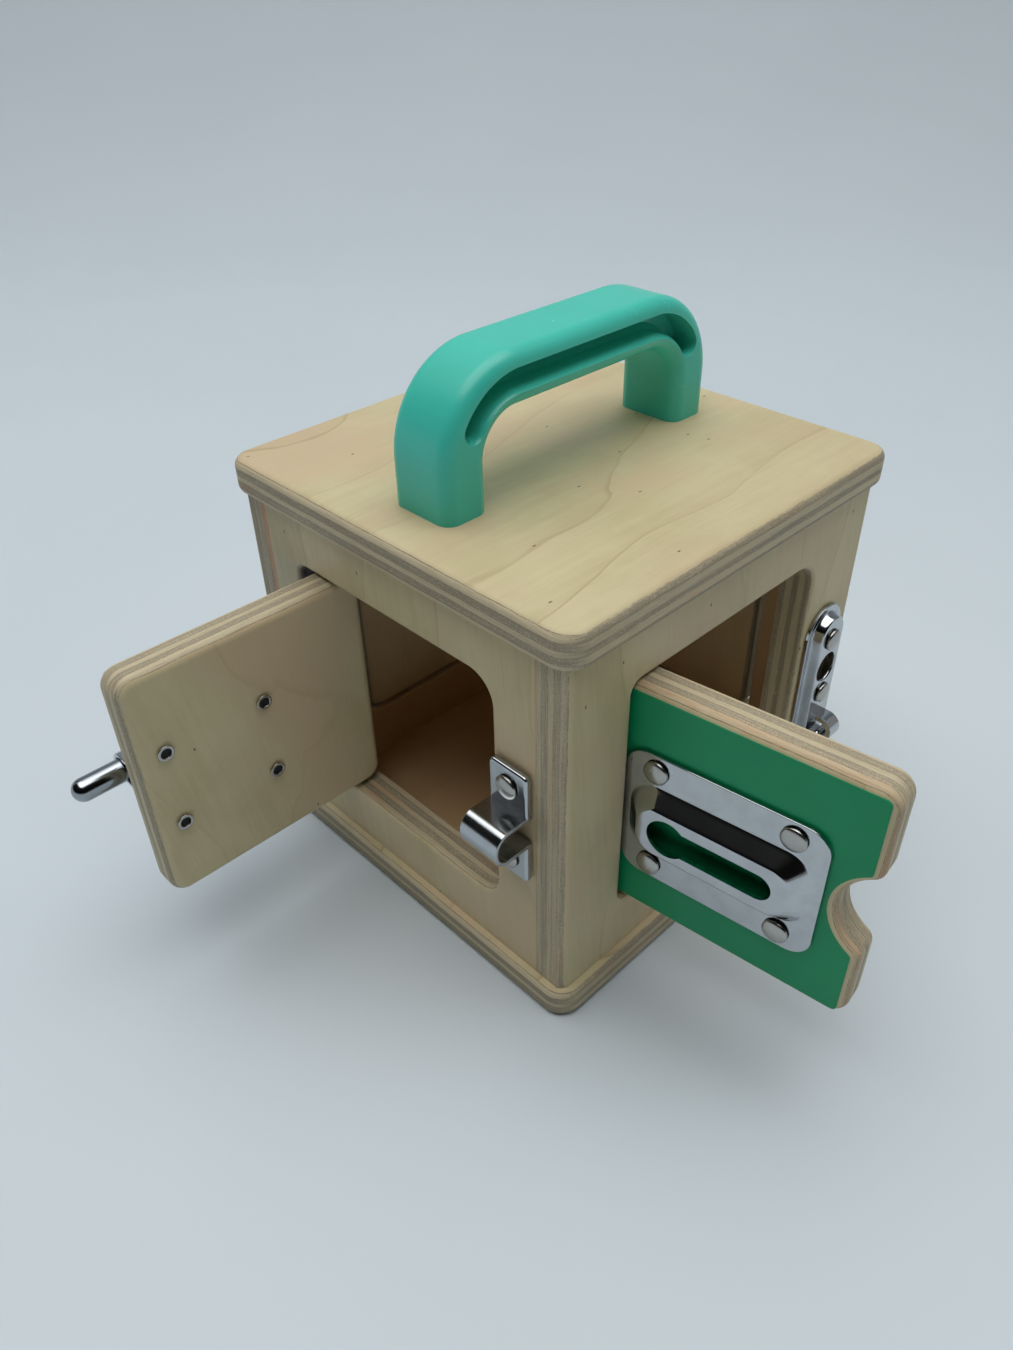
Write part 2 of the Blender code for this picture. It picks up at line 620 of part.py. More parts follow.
def handle(lid):
    """A moulded grip: two feet and a bar with round bends, hollowed by a groove along both flanks."""
    half = HANDLE_LENGTH / 2
    foot = SEAM
    inner_half = half - HANDLE_BAR
    inner_bend = HANDLE_BEND - HANDLE_BAR
    underside = HANDLE_HEIGHT - HANDLE_BAR
    outline = [(-half, foot), (HANDLE_BAR - half, foot)]
    outline += arc(inner_bend - inner_half, underside - inner_bend, inner_bend, math.pi, QUARTER_TURN)
    outline += arc(inner_half - inner_bend, underside - inner_bend, inner_bend, QUARTER_TURN, 0.0)
    outline += [(half - HANDLE_BAR, foot), (half, foot)]
    outline += arc(half - HANDLE_BEND, HANDLE_HEIGHT - HANDLE_BEND, HANDLE_BEND, 0.0, QUARTER_TURN, 10)
    outline += arc(HANDLE_BEND - half, HANDLE_HEIGHT - HANDLE_BEND, HANDLE_BEND, QUARTER_TURN, math.pi, 10)
    grip = mesh_object("handle", slab_mesh("handle", [outline], HANDLE_WIDTH, HANDLE_ARRIS))
    upright = (QUARTER_TURN, 0.0, QUARTER_TURN)
    flank = HANDLE_OFFSET_X + HANDLE_WIDTH / 2
    seat(grip, None, (flank, HANDLE_OFFSET_Y, BOX_HEIGHT), upright)
    finish(grip, MINT, 0.35)

    middle_bend = HANDLE_BEND - HANDLE_BAR / 2
    bend_v = HANDLE_HEIGHT - HANDLE_BEND
    bend_u = half - HANDLE_BEND
    end_turn = QUARTER_TURN - GROOVE_SWEEP
    outer = middle_bend + GROOVE_WIDTH / 2
    inner = middle_bend - GROOVE_WIDTH / 2
    groove = arc(bend_u, bend_v, outer, end_turn, QUARTER_TURN)
    groove += arc(-bend_u, bend_v, outer, QUARTER_TURN, math.pi - end_turn)
    end_u = bend_u + middle_bend * math.cos(end_turn)
    end_v = bend_v + middle_bend * math.sin(end_turn)
    groove += arc(-end_u, end_v, GROOVE_WIDTH / 2, math.pi - end_turn, 2 * math.pi - end_turn)[1:-1]
    groove += arc(-bend_u, bend_v, inner, math.pi - end_turn, QUARTER_TURN)
    groove += arc(bend_u, bend_v, inner, QUARTER_TURN, end_turn)
    groove += arc(end_u, end_v, GROOVE_WIDTH / 2, end_turn - math.pi, end_turn)[1:-1]
    depth = GROOVE_DEPTH + OVERRUN
    for name, outer_face in (("right", flank + OVERRUN), ("left", flank - HANDLE_WIDTH + GROOVE_DEPTH)):
        cutter_name = f"handle_groove_{name}"
        cutter = mesh_object(cutter_name, slab_mesh(cutter_name, [groove], depth), cutter=True)
        seat(cutter, None, (outer_face, HANDLE_OFFSET_Y, BOX_HEIGHT), upright)
        boolean(grip, cutter)

    head_top = BOX_HEIGHT - PLY - SEAM
    tip = BOX_HEIGHT + HANDLE_SCREW_BITE
    reach = half - HANDLE_BAR / 2
    places = [(HANDLE_OFFSET_X, HANDLE_OFFSET_Y + way * reach, 0.0) for way in (-1, 1)]
    profile = [
        (0.0, tip), (HANDLE_SCREW_RADIUS, tip), (HANDLE_SCREW_RADIUS, head_top),
        (HANDLE_SCREW_HEAD_RADIUS, head_top), (HANDLE_SCREW_HEAD_RADIUS, head_top - HANDLE_SCREW_HEAD_HEIGHT),
        (0.0, head_top - HANDLE_SCREW_HEAD_HEIGHT),
    ]
    for which, place in zip(("near", "far"), places):
        screw = mesh_object(f"handle_screw_{which}", turned_mesh(f"handle_screw_{which}", profile))
        screw.location = place
        finish(screw, ZINC, 0.35, 1.0)
    hole_radius = HANDLE_SCREW_RADIUS + RUNNING_GAP
    hole = cylinder_mesh("handle_screw_hole", hole_radius, head_top - OVERRUN, tip + RUNNING_GAP)
    holes = mesh_object("handle_screw_holes", copies_mesh("handle_screw_holes", hole, places), cutter=True)
    boolean(grip, holes)
    boolean(lid, holes)


def barrel_bolt(leaf, facing):
    """A pressed plate with two straps, and a round bolt that slides through them on its knob."""
    right_edge = DOOR_WIDTH - BOLT_PLATE_EDGE
    left_edge = right_edge - BOLT_PLATE_WIDTH
    centre_v = LATCH_HEIGHT + BOLT_PLATE_RISE
    half_height = BOLT_PLATE_HEIGHT / 2
    outline = rounded_rectangle(
        left_edge, centre_v - half_height, right_edge, centre_v + half_height, BOLT_PLATE_CORNER
    )
    plate = mesh_object("bolt_plate", slab_mesh("bolt_plate", [outline], BOLT_PLATE_DEPTH - SHEET_SEAM))
    plated(FRONT.on_door(plate, w=BOLT_PLATE_DEPTH))

    strap_inner = BOLT_RADIUS + RUNNING_GAP
    strap_outer = strap_inner + BOLT_SHEET
    sunk = BOLT_PLATE_DEPTH - BOLT_SHEET / 2
    strap = [(-strap_outer, sunk), (-strap_inner, sunk)]
    strap += arc(0.0, BOLT_AXIS_RISE, strap_inner, math.pi, 0.0, 2 * CORNER_STEPS)
    strap += [(strap_inner, sunk), (strap_outer, sunk)]
    strap += arc(0.0, BOLT_AXIS_RISE, strap_outer, 0.0, math.pi, 2 * CORNER_STEPS)
    strap_mesh = slab_mesh("bolt_strap", [strap], BOLT_STRAP_WIDTH)
    strap_mesh.transform(ON_ITS_SIDE)
    strap_edges = (right_edge - BOLT_STRAP_EDGE, left_edge + BOLT_STRAP_EDGE + BOLT_STRAP_WIDTH)
    for number, far_edge in enumerate(strap_edges):
        one = mesh_object(f"bolt_strap_{number + 1}", strap_mesh.copy(), cutter=True)
        boolean(plate, FRONT.on_door(one, u=far_edge, v=LATCH_HEIGHT), "UNION")

    pocket_outline = rounded_rectangle(
        left_edge + BOLT_SHEET, centre_v - half_height + BOLT_SHEET,
        right_edge - BOLT_SHEET, centre_v + half_height - BOLT_SHEET, BOLT_PLATE_CORNER - BOLT_SHEET,
    )
    pocket = mesh_object("bolt_plate_back", slab_mesh("bolt_plate_back", [pocket_outline], PLY), cutter=True)
    boolean(plate, FRONT.on_door(pocket, w=BOLT_PLATE_DEPTH - BOLT_SHEET))

    rivet_u = DOOR_WIDTH - BOLT_RIVET_EDGE - BOLT_RIVET_SPAN / 2
    places = grid(rivet_u, centre_v, BOLT_RIVET_SPAN, BOLT_RIVET_RISE)
    rivets("bolt_rivet", FRONT.on_door, places, BOLT_PLATE_DEPTH, (plate, leaf, facing))

    tip_u = DOOR_WIDTH + BOLT_THROW
    nose = [(0.0, 0.0)] + [
        (BOLT_RADIUS * math.sin(a), BOLT_RADIUS * (math.cos(a) - 1))
        for a in (QUARTER_TURN * step / 4 for step in range(1, 5))
    ]
    profile = nose + [(BOLT_RADIUS, -BOLT_LENGTH), (0.0, -BOLT_LENGTH)]
    rod_mesh = turned_mesh("bolt_rod", profile, TURN_STEPS)
    rod_mesh.transform(Matrix.Rotation(QUARTER_TURN, 4, "Y"))
    rod = plated(FRONT.on_door(mesh_object("bolt_rod", rod_mesh), tip_u, LATCH_HEIGHT, BOLT_AXIS_RISE))

    knob_u = tip_u - BOLT_KNOB_BACKSET
    collar = BOLT_RADIUS + RUNNING_GAP
    head_foot = collar + BOLT_KNOB_STEM_LENGTH
    head_top = head_foot + BOLT_KNOB_HEAD_HEIGHT
    head_middle = (head_foot + head_top) / 2
    head = [
        (BOLT_KNOB_HEAD_RADIUS * math.sin(a), head_middle + BOLT_KNOB_HEAD_HEIGHT / 2 * math.cos(a))
        for a in (math.radians(degrees) for degrees in range(0, 151, 25))
    ]
    stem = [(BOLT_KNOB_STEM_RADIUS, head_foot), (BOLT_KNOB_STEM_RADIUS, collar)]
    tenon = [(BOLT_KNOB_TENON_RADIUS, collar), (BOLT_KNOB_TENON_RADIUS, 0.0), (0.0, 0.0)]
    knob = mesh_object("bolt_knob", turned_mesh("bolt_knob", head + stem + tenon, TURN_STEPS))
    plated(FRONT.on_door(knob, knob_u, LATCH_HEIGHT, BOLT_AXIS_RISE))
    socket_radius = BOLT_KNOB_TENON_RADIUS + RUNNING_GAP
    socket_mesh = cylinder_mesh("bolt_knob_socket", socket_radius, -RUNNING_GAP, BOLT_RADIUS + OVERRUN)
    socket = mesh_object("bolt_knob_socket", socket_mesh, cutter=True)
    boolean(rod, FRONT.on_door(socket, knob_u, LATCH_HEIGHT, BOLT_AXIS_RISE))


def keeper(wall_piece):
    """A bent strip with a loop that takes the bolt, riveted beside the front opening."""
    loop_middle = (KEEPER_LOOP_TOP - KEEPER_LOOP_FOOT) / 2
    half = (KEEPER_LOOP_TOP + KEEPER_LOOP_FOOT) / 2
    nose_start = KEEPER_LOOP_REACH - KEEPER_NOSE_DEPTH
    inner_half = half - KEEPER_SHEET
    inner_depth = KEEPER_NOSE_DEPTH - KEEPER_SHEET

    def nose(height, depth, way):
        turns = [way * QUARTER_TURN * (1 - step / CORNER_STEPS) for step in range(2 * CORNER_STEPS + 1)]
        return [(loop_middle + height * math.sin(a), nose_start + depth * math.cos(a)) for a in turns]

    outline = [(-KEEPER_FOOT, SHEET_SEAM), (-KEEPER_FOOT, KEEPER_DEPTH), (-KEEPER_LOOP_FOOT, KEEPER_DEPTH)]
    outline += nose(half, KEEPER_NOSE_DEPTH, -1)
    outline += [(KEEPER_LOOP_TOP, KEEPER_DEPTH), (KEEPER_TOP, KEEPER_DEPTH), (KEEPER_TOP, SHEET_SEAM)]
    outline += [(KEEPER_LOOP_TOP - KEEPER_SHEET, SHEET_SEAM)]
    outline += nose(inner_half, inner_depth, 1)
    outline += [(KEEPER_SHEET - KEEPER_LOOP_FOOT, SHEET_SEAM)]
    mesh = slab_mesh("keeper", [outline], KEEPER_WIDTH)
    mesh.transform(ON_ITS_SIDE)
    piece = mesh_object("keeper", mesh)
    plated(FRONT.on_wall(piece, KEEPER_FIRST_EDGE + KEEPER_WIDTH, LATCH_HEIGHT))
    middle = KEEPER_FIRST_EDGE + KEEPER_WIDTH / 2
    places = [(middle, LATCH_HEIGHT + way * KEEPER_RIVET_OFFSET) for way in (-1, 1)]
    rivets("keeper_rivet", FRONT.on_wall, places, KEEPER_DEPTH, (piece, wall_piece))


def frustum_mesh(name, half_foot, half_top, foot, top, corner):
    """A block whose four flanks slope in to its top, with rounded corners."""
    mesh = bpy.data.meshes.new(name)
    shaped = bmesh.new()
    bmesh.ops.create_cube(shaped, size=2.0)
    uprights = [e for e in shaped.edges if abs(e.verts[0].co.z - e.verts[1].co.z) > 1.0]
    for vertex in shaped.verts:
        half = half_top if vertex.co.z > 0.0 else half_foot
        height = top if vertex.co.z > 0.0 else foot
        vertex.co = (vertex.co.x * half[0], vertex.co.y * half[1], height)
    bmesh.ops.bevel(shaped, geom=uprights, offset=corner, segments=CORNER_STEPS, profile=0.5, affect="EDGES")
    bmesh.ops.recalc_face_normals(shaped, faces=shaped.faces)
    shaped.to_mesh(mesh)
    shaped.free()
    return mesh


def keyhole_track(leaf, facing):
    """A pressed plate with a raised channel, and a keyhole slot along it for the chain's knob."""
    centre_u = TRACK_FIRST_EDGE + TRACK_WIDTH / 2
    centre_v = LATCH_HEIGHT - TRACK_DROP
    half_height = TRACK_HEIGHT / 2
    right_edge = TRACK_FIRST_EDGE + TRACK_WIDTH
    outline = rounded_rectangle(
        TRACK_FIRST_EDGE, centre_v - half_height, right_edge, centre_v + half_height, TRACK_CORNER
    )
    sheet_top = SHEET_SEAM + TRACK_SHEET
    plate = mesh_object("track_plate", slab_mesh("track_plate", [outline], TRACK_SHEET))
    plated(RIGHT.on_door(plate, w=sheet_top))

    channel_u = TRACK_FIRST_EDGE + TRACK_CHANNEL_START + TRACK_CHANNEL_WIDTH / 2
    top = sheet_top + TRACK_RISE - TRACK_SHEET
    half_foot = (TRACK_CHANNEL_WIDTH / 2, TRACK_CHANNEL_HEIGHT / 2)
    half_top = (TRACK_PLATEAU_WIDTH / 2, TRACK_PLATEAU_HEIGHT / 2)
    sunk = SHEET_SEAM + TRACK_SHEET / 2
    raised_mesh = frustum_mesh("track_channel", half_foot, half_top, sunk, top, TRACK_PLATEAU_CORNER)
    raised = mesh_object("track_channel", raised_mesh, cutter=True)
    boolean(plate, RIGHT.on_door(raised, channel_u, centre_v), "UNION")

    flank = math.hypot(half_foot[1] - half_top[1], top - sunk)
    draw_in = TRACK_SHEET * flank / (top - sunk)
    lean_u = (half_foot[0] - half_top[0]) / (top - sunk)
    lean_v = (half_foot[1] - half_top[1]) / (top - sunk)
    lower_by = TRACK_SHEET
    inner_top = (
        half_top[0] - draw_in + lean_u * lower_by, half_top[1] - draw_in + lean_v * lower_by
    )
    inner_foot = (
        half_foot[0] - draw_in + lean_u * sheet_top, half_foot[1] - draw_in + lean_v * sheet_top
    )
    corner = TRACK_PLATEAU_CORNER - TRACK_SHEET
    hollow_mesh = frustum_mesh(
        "track_hollow", inner_foot, inner_top, sunk - sheet_top, top - lower_by, corner
    )
    hollow = mesh_object("track_hollow", hollow_mesh, cutter=True)
    boolean(plate, RIGHT.on_door(hollow, channel_u, centre_v))

    keyhole_u = TRACK_FIRST_EDGE + KEYHOLE_FROM_EDGE
    slot_lean = math.asin(KEYHOLE_SLOT_RADIUS / KEYHOLE_RADIUS)
    keyhole = arc(0.0, 0.0, KEYHOLE_RADIUS, slot_lean, FULL_TURN - slot_lean, 3 * CORNER_STEPS)
    keyhole += arc(KEYHOLE_SLOT_END, 0.0, KEYHOLE_SLOT_RADIUS, -QUARTER_TURN, QUARTER_TURN, 2 * CORNER_STEPS)
    keyhole_mesh = slab_mesh("keyhole", [keyhole], TRACK_RISE)
    cutter = mesh_object("keyhole", keyhole_mesh, cutter=True)
    boolean(plate, RIGHT.on_door(cutter, keyhole_u, centre_v, top + OVERRUN))
    places = grid(centre_u, centre_v, TRACK_RIVET_SPAN, TRACK_RIVET_RISE)
    rivets("track_rivet", RIGHT.on_door, places, sheet_top, (plate, leaf, facing))


def capsule(centre_u, foot, top, radius):
    points = arc(centre_u, foot + radius, radius, -math.pi, 0.0, 2 * CORNER_STEPS)
    points += arc(centre_u, top - radius, radius, 0.0, math.pi, 2 * CORNER_STEPS)
    return points


def chain_anchor(wall_piece):
    """A long pressed plate with round ends, a hole that parks the knob, and a tongue that holds the chain."""
    flange = slab_mesh(
        "chain_anchor", [capsule(ANCHOR_CENTRE, ANCHOR_FOOT, ANCHOR_TOP, ANCHOR_HALF_WIDTH)], ANCHOR_SHEET
    )
    plate = mesh_object("chain_anchor", flange)
    plated(RIGHT.on_wall(plate, w=SHEET_SEAM + ANCHOR_SHEET))
    boss_radius = ANCHOR_HALF_WIDTH - ANCHOR_FLANGE
    boss_foot, boss_top = ANCHOR_FOOT + ANCHOR_FLANGE, ANCHOR_TOP - ANCHOR_FLANGE
    boss_outline = capsule(ANCHOR_CENTRE, boss_foot, boss_top, boss_radius)
    boss_depth = ANCHOR_RISE - SHEET_SEAM - ANCHOR_SHEET / 2
    boss_mesh = slab_mesh("anchor_boss", [boss_outline], boss_depth)
    narrowed = 1.0 - ANCHOR_SLOPE / boss_radius
    middle_v = (ANCHOR_TOP + ANCHOR_FOOT) / 2
    half_boss = (ANCHOR_TOP - ANCHOR_FOOT) / 2 - ANCHOR_FLANGE
    shortened = 1.0 - ANCHOR_SLOPE / half_boss
    for vertex in boss_mesh.vertices:
        if vertex.co.z > -boss_depth / 2:
            vertex.co.x = ANCHOR_CENTRE + (vertex.co.x - ANCHOR_CENTRE) * narrowed
            vertex.co.y = middle_v + (vertex.co.y - middle_v) * shortened
    boss = mesh_object("anchor_boss", boss_mesh, cutter=True)
    boolean(plate, RIGHT.on_wall(boss, w=ANCHOR_RISE), "UNION")

    tunnel_foot = CHAIN_TOP_HEIGHT - CHAIN_WIRE_RADIUS - CHAIN_SLACK
    tongue_foot = tunnel_foot - TONGUE_SHEET
    rise = TONGUE_HEIGHT
    radius = rise / 2
    sunk = ANCHOR_RISE - ANCHOR_SHEET / 2
    tongue = [(0.0, sunk)]
    nose = arc(radius, TONGUE_REACH - radius, radius, math.pi, 0.0, 2 * CORNER_STEPS)
    tongue += nose + [(rise, sunk)]
    tongue_mesh = slab_mesh("anchor_tongue", [tongue], TONGUE_WIDTH)
    tongue_mesh.transform(ON_ITS_SIDE)
    piece = mesh_object("anchor_tongue", tongue_mesh, cutter=True)
    boolean(plate, RIGHT.on_wall(piece, ANCHOR_CENTRE + TONGUE_WIDTH / 2, tongue_foot), "UNION")
    inner_radius = radius - TONGUE_SHEET
    eye_foot = ANCHOR_RISE
    eye = [(0.0, eye_foot)]
    eye += arc(inner_radius, TONGUE_REACH - radius, inner_radius, math.pi, 0.0, 2 * CORNER_STEPS)
    eye += [(2 * inner_radius, eye_foot)]
    eye_mesh = slab_mesh("anchor_eye", [eye], TONGUE_WIDTH + 2 * OVERRUN)
    eye_mesh.transform(ON_ITS_SIDE)
    hollow = mesh_object("anchor_eye", eye_mesh, cutter=True)
    edge = ANCHOR_CENTRE + TONGUE_WIDTH / 2 + OVERRUN
    boolean(plate, RIGHT.on_wall(hollow, edge, tunnel_foot))

    back_outline = capsule(
        ANCHOR_CENTRE, ANCHOR_FOOT + ANCHOR_FLANGE + ANCHOR_SLOPE + ANCHOR_SHEET,
        ANCHOR_TOP - ANCHOR_FLANGE - ANCHOR_SLOPE - ANCHOR_SHEET, boss_radius - ANCHOR_SLOPE - ANCHOR_SHEET / 2,
    )
    back = mesh_object("anchor_back", slab_mesh("anchor_back", [back_outline], PLY), cutter=True)
    boolean(plate, RIGHT.on_wall(back, w=ANCHOR_RISE - ANCHOR_SHEET))

    hole = cylinder_mesh("anchor_park", ANCHOR_HOLE_RADIUS, -OVERRUN, ANCHOR_RISE + OVERRUN, TURN_STEPS)
    park = mesh_object("anchor_park", hole, cutter=True)
    boolean(plate, RIGHT.on_wall(park, ANCHOR_CENTRE, ANCHOR_HOLE_HEIGHT))
    heights = (ANCHOR_LOWER_RIVET_HEIGHT, ANCHOR_UPPER_RIVET_HEIGHT)
    places = [(ANCHOR_CENTRE, height) for height in heights]
    rivets("anchor_rivet", RIGHT.on_wall, places, ANCHOR_RISE, (plate, wall_piece))


def link_curve(name, half_width, top, foot, corner):
    """A closed wire loop in its local XZ plane, round its origin at the top."""
    outline = rounded_rectangle(-half_width, foot, half_width, top, corner)
    curve = bpy.data.curves.new(name, "CURVE")
    curve.dimensions = "3D"
    curve.bevel_depth = CHAIN_WIRE_RADIUS
    curve.bevel_resolution = 1
    spline = curve.splines.new("POLY")
    spline.points.add(len(outline) - 1)
    for point, (x, z) in zip(spline.points, outline):
        point.co = (x, 0.0, z, 1.0)
    spline.use_cyclic_u = True
    return curve


def turned_to(across, upward):
    """The rotation that takes local X to one direction and local Z to another."""
    return Matrix((across, upward.cross(across), upward)).transposed().to_euler()


def chain():
    """Wire links, each hooked round the foot of the one before. The first ones hang, the rest lie on the floor."""
    right, out, up = Vector((1.0, 0.0, 0.0)), Vector((0.0, -1.0, 0.0)), Vector((0.0, 0.0, 1.0))
    hanging = [(-up, right if number % 2 == 0 else out) for number in range(CHAIN_HANGING_LINKS)]
    tail = math.sin(CHAIN_TAIL_TURN) * out - math.cos(CHAIN_TAIL_TURN) * right
    beside = math.sin(CHAIN_TAIL_TURN) * right + math.cos(CHAIN_TAIL_TURN) * out
    lying = [(-right, up), (tail, beside), (tail, up)]
    spot = Vector((ANCHOR_CENTRE, -HALF_WALL - TONGUE_REACH + TONGUE_HEIGHT / 2, CHAIN_TOP_HEIGHT))
    half_ring = TONGUE_WIDTH / 2 + CHAIN_SLACK + CHAIN_WIRE_RADIUS
    eye = LINK_EYE_RADIUS
    for number, (way, across) in enumerate(hanging + lying):
        name = f"chain_link_{number}" if number else "chain_ring"
        half_width, top = (eye, eye) if number else (half_ring, 0.0)
        link = bpy.data.objects.new(name, link_curve(name, half_width, top, -CHAIN_PITCH, eye))
        PARTS.objects.link(link)
        plated(seat(link, RIGHT.frame, spot, turned_to(across, -way)))
        spot = spot + way * CHAIN_PITCH

    loop = bpy.data.objects.new("knob_eye", link_curve("knob_eye", eye, eye, -CHAIN_KNOB_EYE_LENGTH, eye))
    PARTS.objects.link(loop)
    loop = mesh_object("knob_eye", mesh_from(loop), cutter=True)
    collar_top = CHAIN_WIRE_RADIUS / 2 - CHAIN_KNOB_EYE_LENGTH
    collar_foot = collar_top - CHAIN_KNOB_COLLAR_LENGTH
    neck_foot = collar_foot - CHAIN_KNOB_NECK_LENGTH
    dome_steps = 4
    dome = [
        (CHAIN_KNOB_RADIUS * math.cos(a), neck_foot - CHAIN_KNOB_DOME * math.sin(a))
        for a in (QUARTER_TURN * step / dome_steps for step in range(dome_steps))
    ]
    profile = [
        (0.0, collar_top), (CHAIN_KNOB_COLLAR_RADIUS, collar_top), (CHAIN_KNOB_COLLAR_RADIUS, collar_foot),
        (CHAIN_KNOB_NECK_RADIUS, collar_foot), (CHAIN_KNOB_NECK_RADIUS, neck_foot),
    ] + dome + [(0.0, neck_foot - CHAIN_KNOB_DOME)]
    knob = mesh_object("chain_knob", turned_mesh("chain_knob", profile))
    rotation = turned_to(beside, -tail)
    plated(seat(knob, RIGHT.frame, spot, rotation))
    boolean(knob, seat(loop, RIGHT.frame, spot, rotation), "UNION")


def hole_through(name, put, u, v, radius, foot, top, pieces):
    """A round hole along w through the pieces named."""
    cutter = mesh_object(name, cylinder_mesh(name, radius, foot, top), cutter=True)
    put(cutter, u, v)
    for piece in pieces:
        boolean(piece, cutter)


def headed_profile(head_radius, head_foot, head_height, shank_radius, tip):
    """A screw with a low domed head, its shank running down to a tip."""
    dome_steps = 3
    dome = [
        (head_radius * math.sin(a), head_foot + head_height * math.cos(a))
        for a in (QUARTER_TURN * step / dome_steps for step in range(dome_steps + 1))
    ]
    return dome + [(shank_radius, head_foot), (shank_radius, tip), (0.0, tip)]


def turn_button(wall_piece):
    """A wooden bar that turns on a screw beside the left opening, across the door's edge or clear of it."""
    u = OPENING_LATCH_SIDE + BUTTON_PIVOT_BACKSET
    half_length, half_width = BUTTON_LENGTH / 2, BUTTON_WIDTH / 2
    foot = BUTTON_STANDOFF
    top = foot + BUTTON_THICKNESS
    bar_mesh = slab_mesh("left_button", [capsule(0.0, -half_length, half_length, half_width)],
                         BUTTON_THICKNESS, BUTTON_ARRIS)
    bar_mesh.transform(Matrix.Translation((0.0, 0.0, top)))
    bar = mesh_object("left_button", bar_mesh)
    wooden(LEFT.on_wall(bar, u, LATCH_HEIGHT), RED)
    boss_mesh = cylinder_mesh("button_boss", BUTTON_BOSS_RADIUS, RUNNING_GAP, top - BUTTON_THICKNESS / 2)
    boss = mesh_object("button_boss", boss_mesh, cutter=True)
    boolean(bar, LEFT.on_wall(boss, u, LATCH_HEIGHT), "UNION")
    head_foot = top + RUNNING_GAP
    tip = -BUTTON_SCREW_BITE
    profile = headed_profile(
        BUTTON_SCREW_HEAD_RADIUS, head_foot, BUTTON_SCREW_HEAD_HEIGHT, BUTTON_SCREW_RADIUS, tip
    )
    screw = mesh_object("left_button_screw", turned_mesh("left_button_screw", profile))
    finish(LEFT.on_wall(screw, u, LATCH_HEIGHT), ZINC, 0.35, 1.0)
    hole_through(
        "button_screw_hole", LEFT.on_wall, u, LATCH_HEIGHT, BUTTON_SCREW_RADIUS + RUNNING_GAP,
        tip - RUNNING_GAP, head_foot + OVERRUN, (bar, wall_piece),
    )


def pull_knob(leaf, facing):
    """A turned wooden knob on the left door, its tenon glued into a blind hole."""
    u = DOOR_WIDTH - PULL_BACKSET
    middle = (PULL_NECK_HEIGHT + PULL_HEIGHT) / 2
    half_head = (PULL_HEIGHT - PULL_NECK_HEIGHT) / 2
    head = [
        (PULL_RADIUS * math.sin(a), middle + half_head * math.cos(a))
        for a in (math.radians(degrees) for degrees in range(0, 151, 25))
    ]
    neck = [(PULL_NECK_RADIUS, PULL_NECK_HEIGHT), (PULL_NECK_RADIUS, SEAM)]
    tenon = [(PULL_TENON_RADIUS, SEAM), (PULL_TENON_RADIUS, -PULL_TENON_LENGTH), (0.0, -PULL_TENON_LENGTH)]
    knob = mesh_object("left_pull", turned_mesh("left_pull", head + neck + tenon))
    wooden(LEFT.on_door(knob, u, LATCH_HEIGHT), RED)
    hole_through(
        "pull_socket", LEFT.on_door, u, LATCH_HEIGHT, PULL_TENON_RADIUS + RUNNING_GAP,
        -PULL_TENON_LENGTH - RUNNING_GAP, OVERRUN, (leaf, facing),
    )


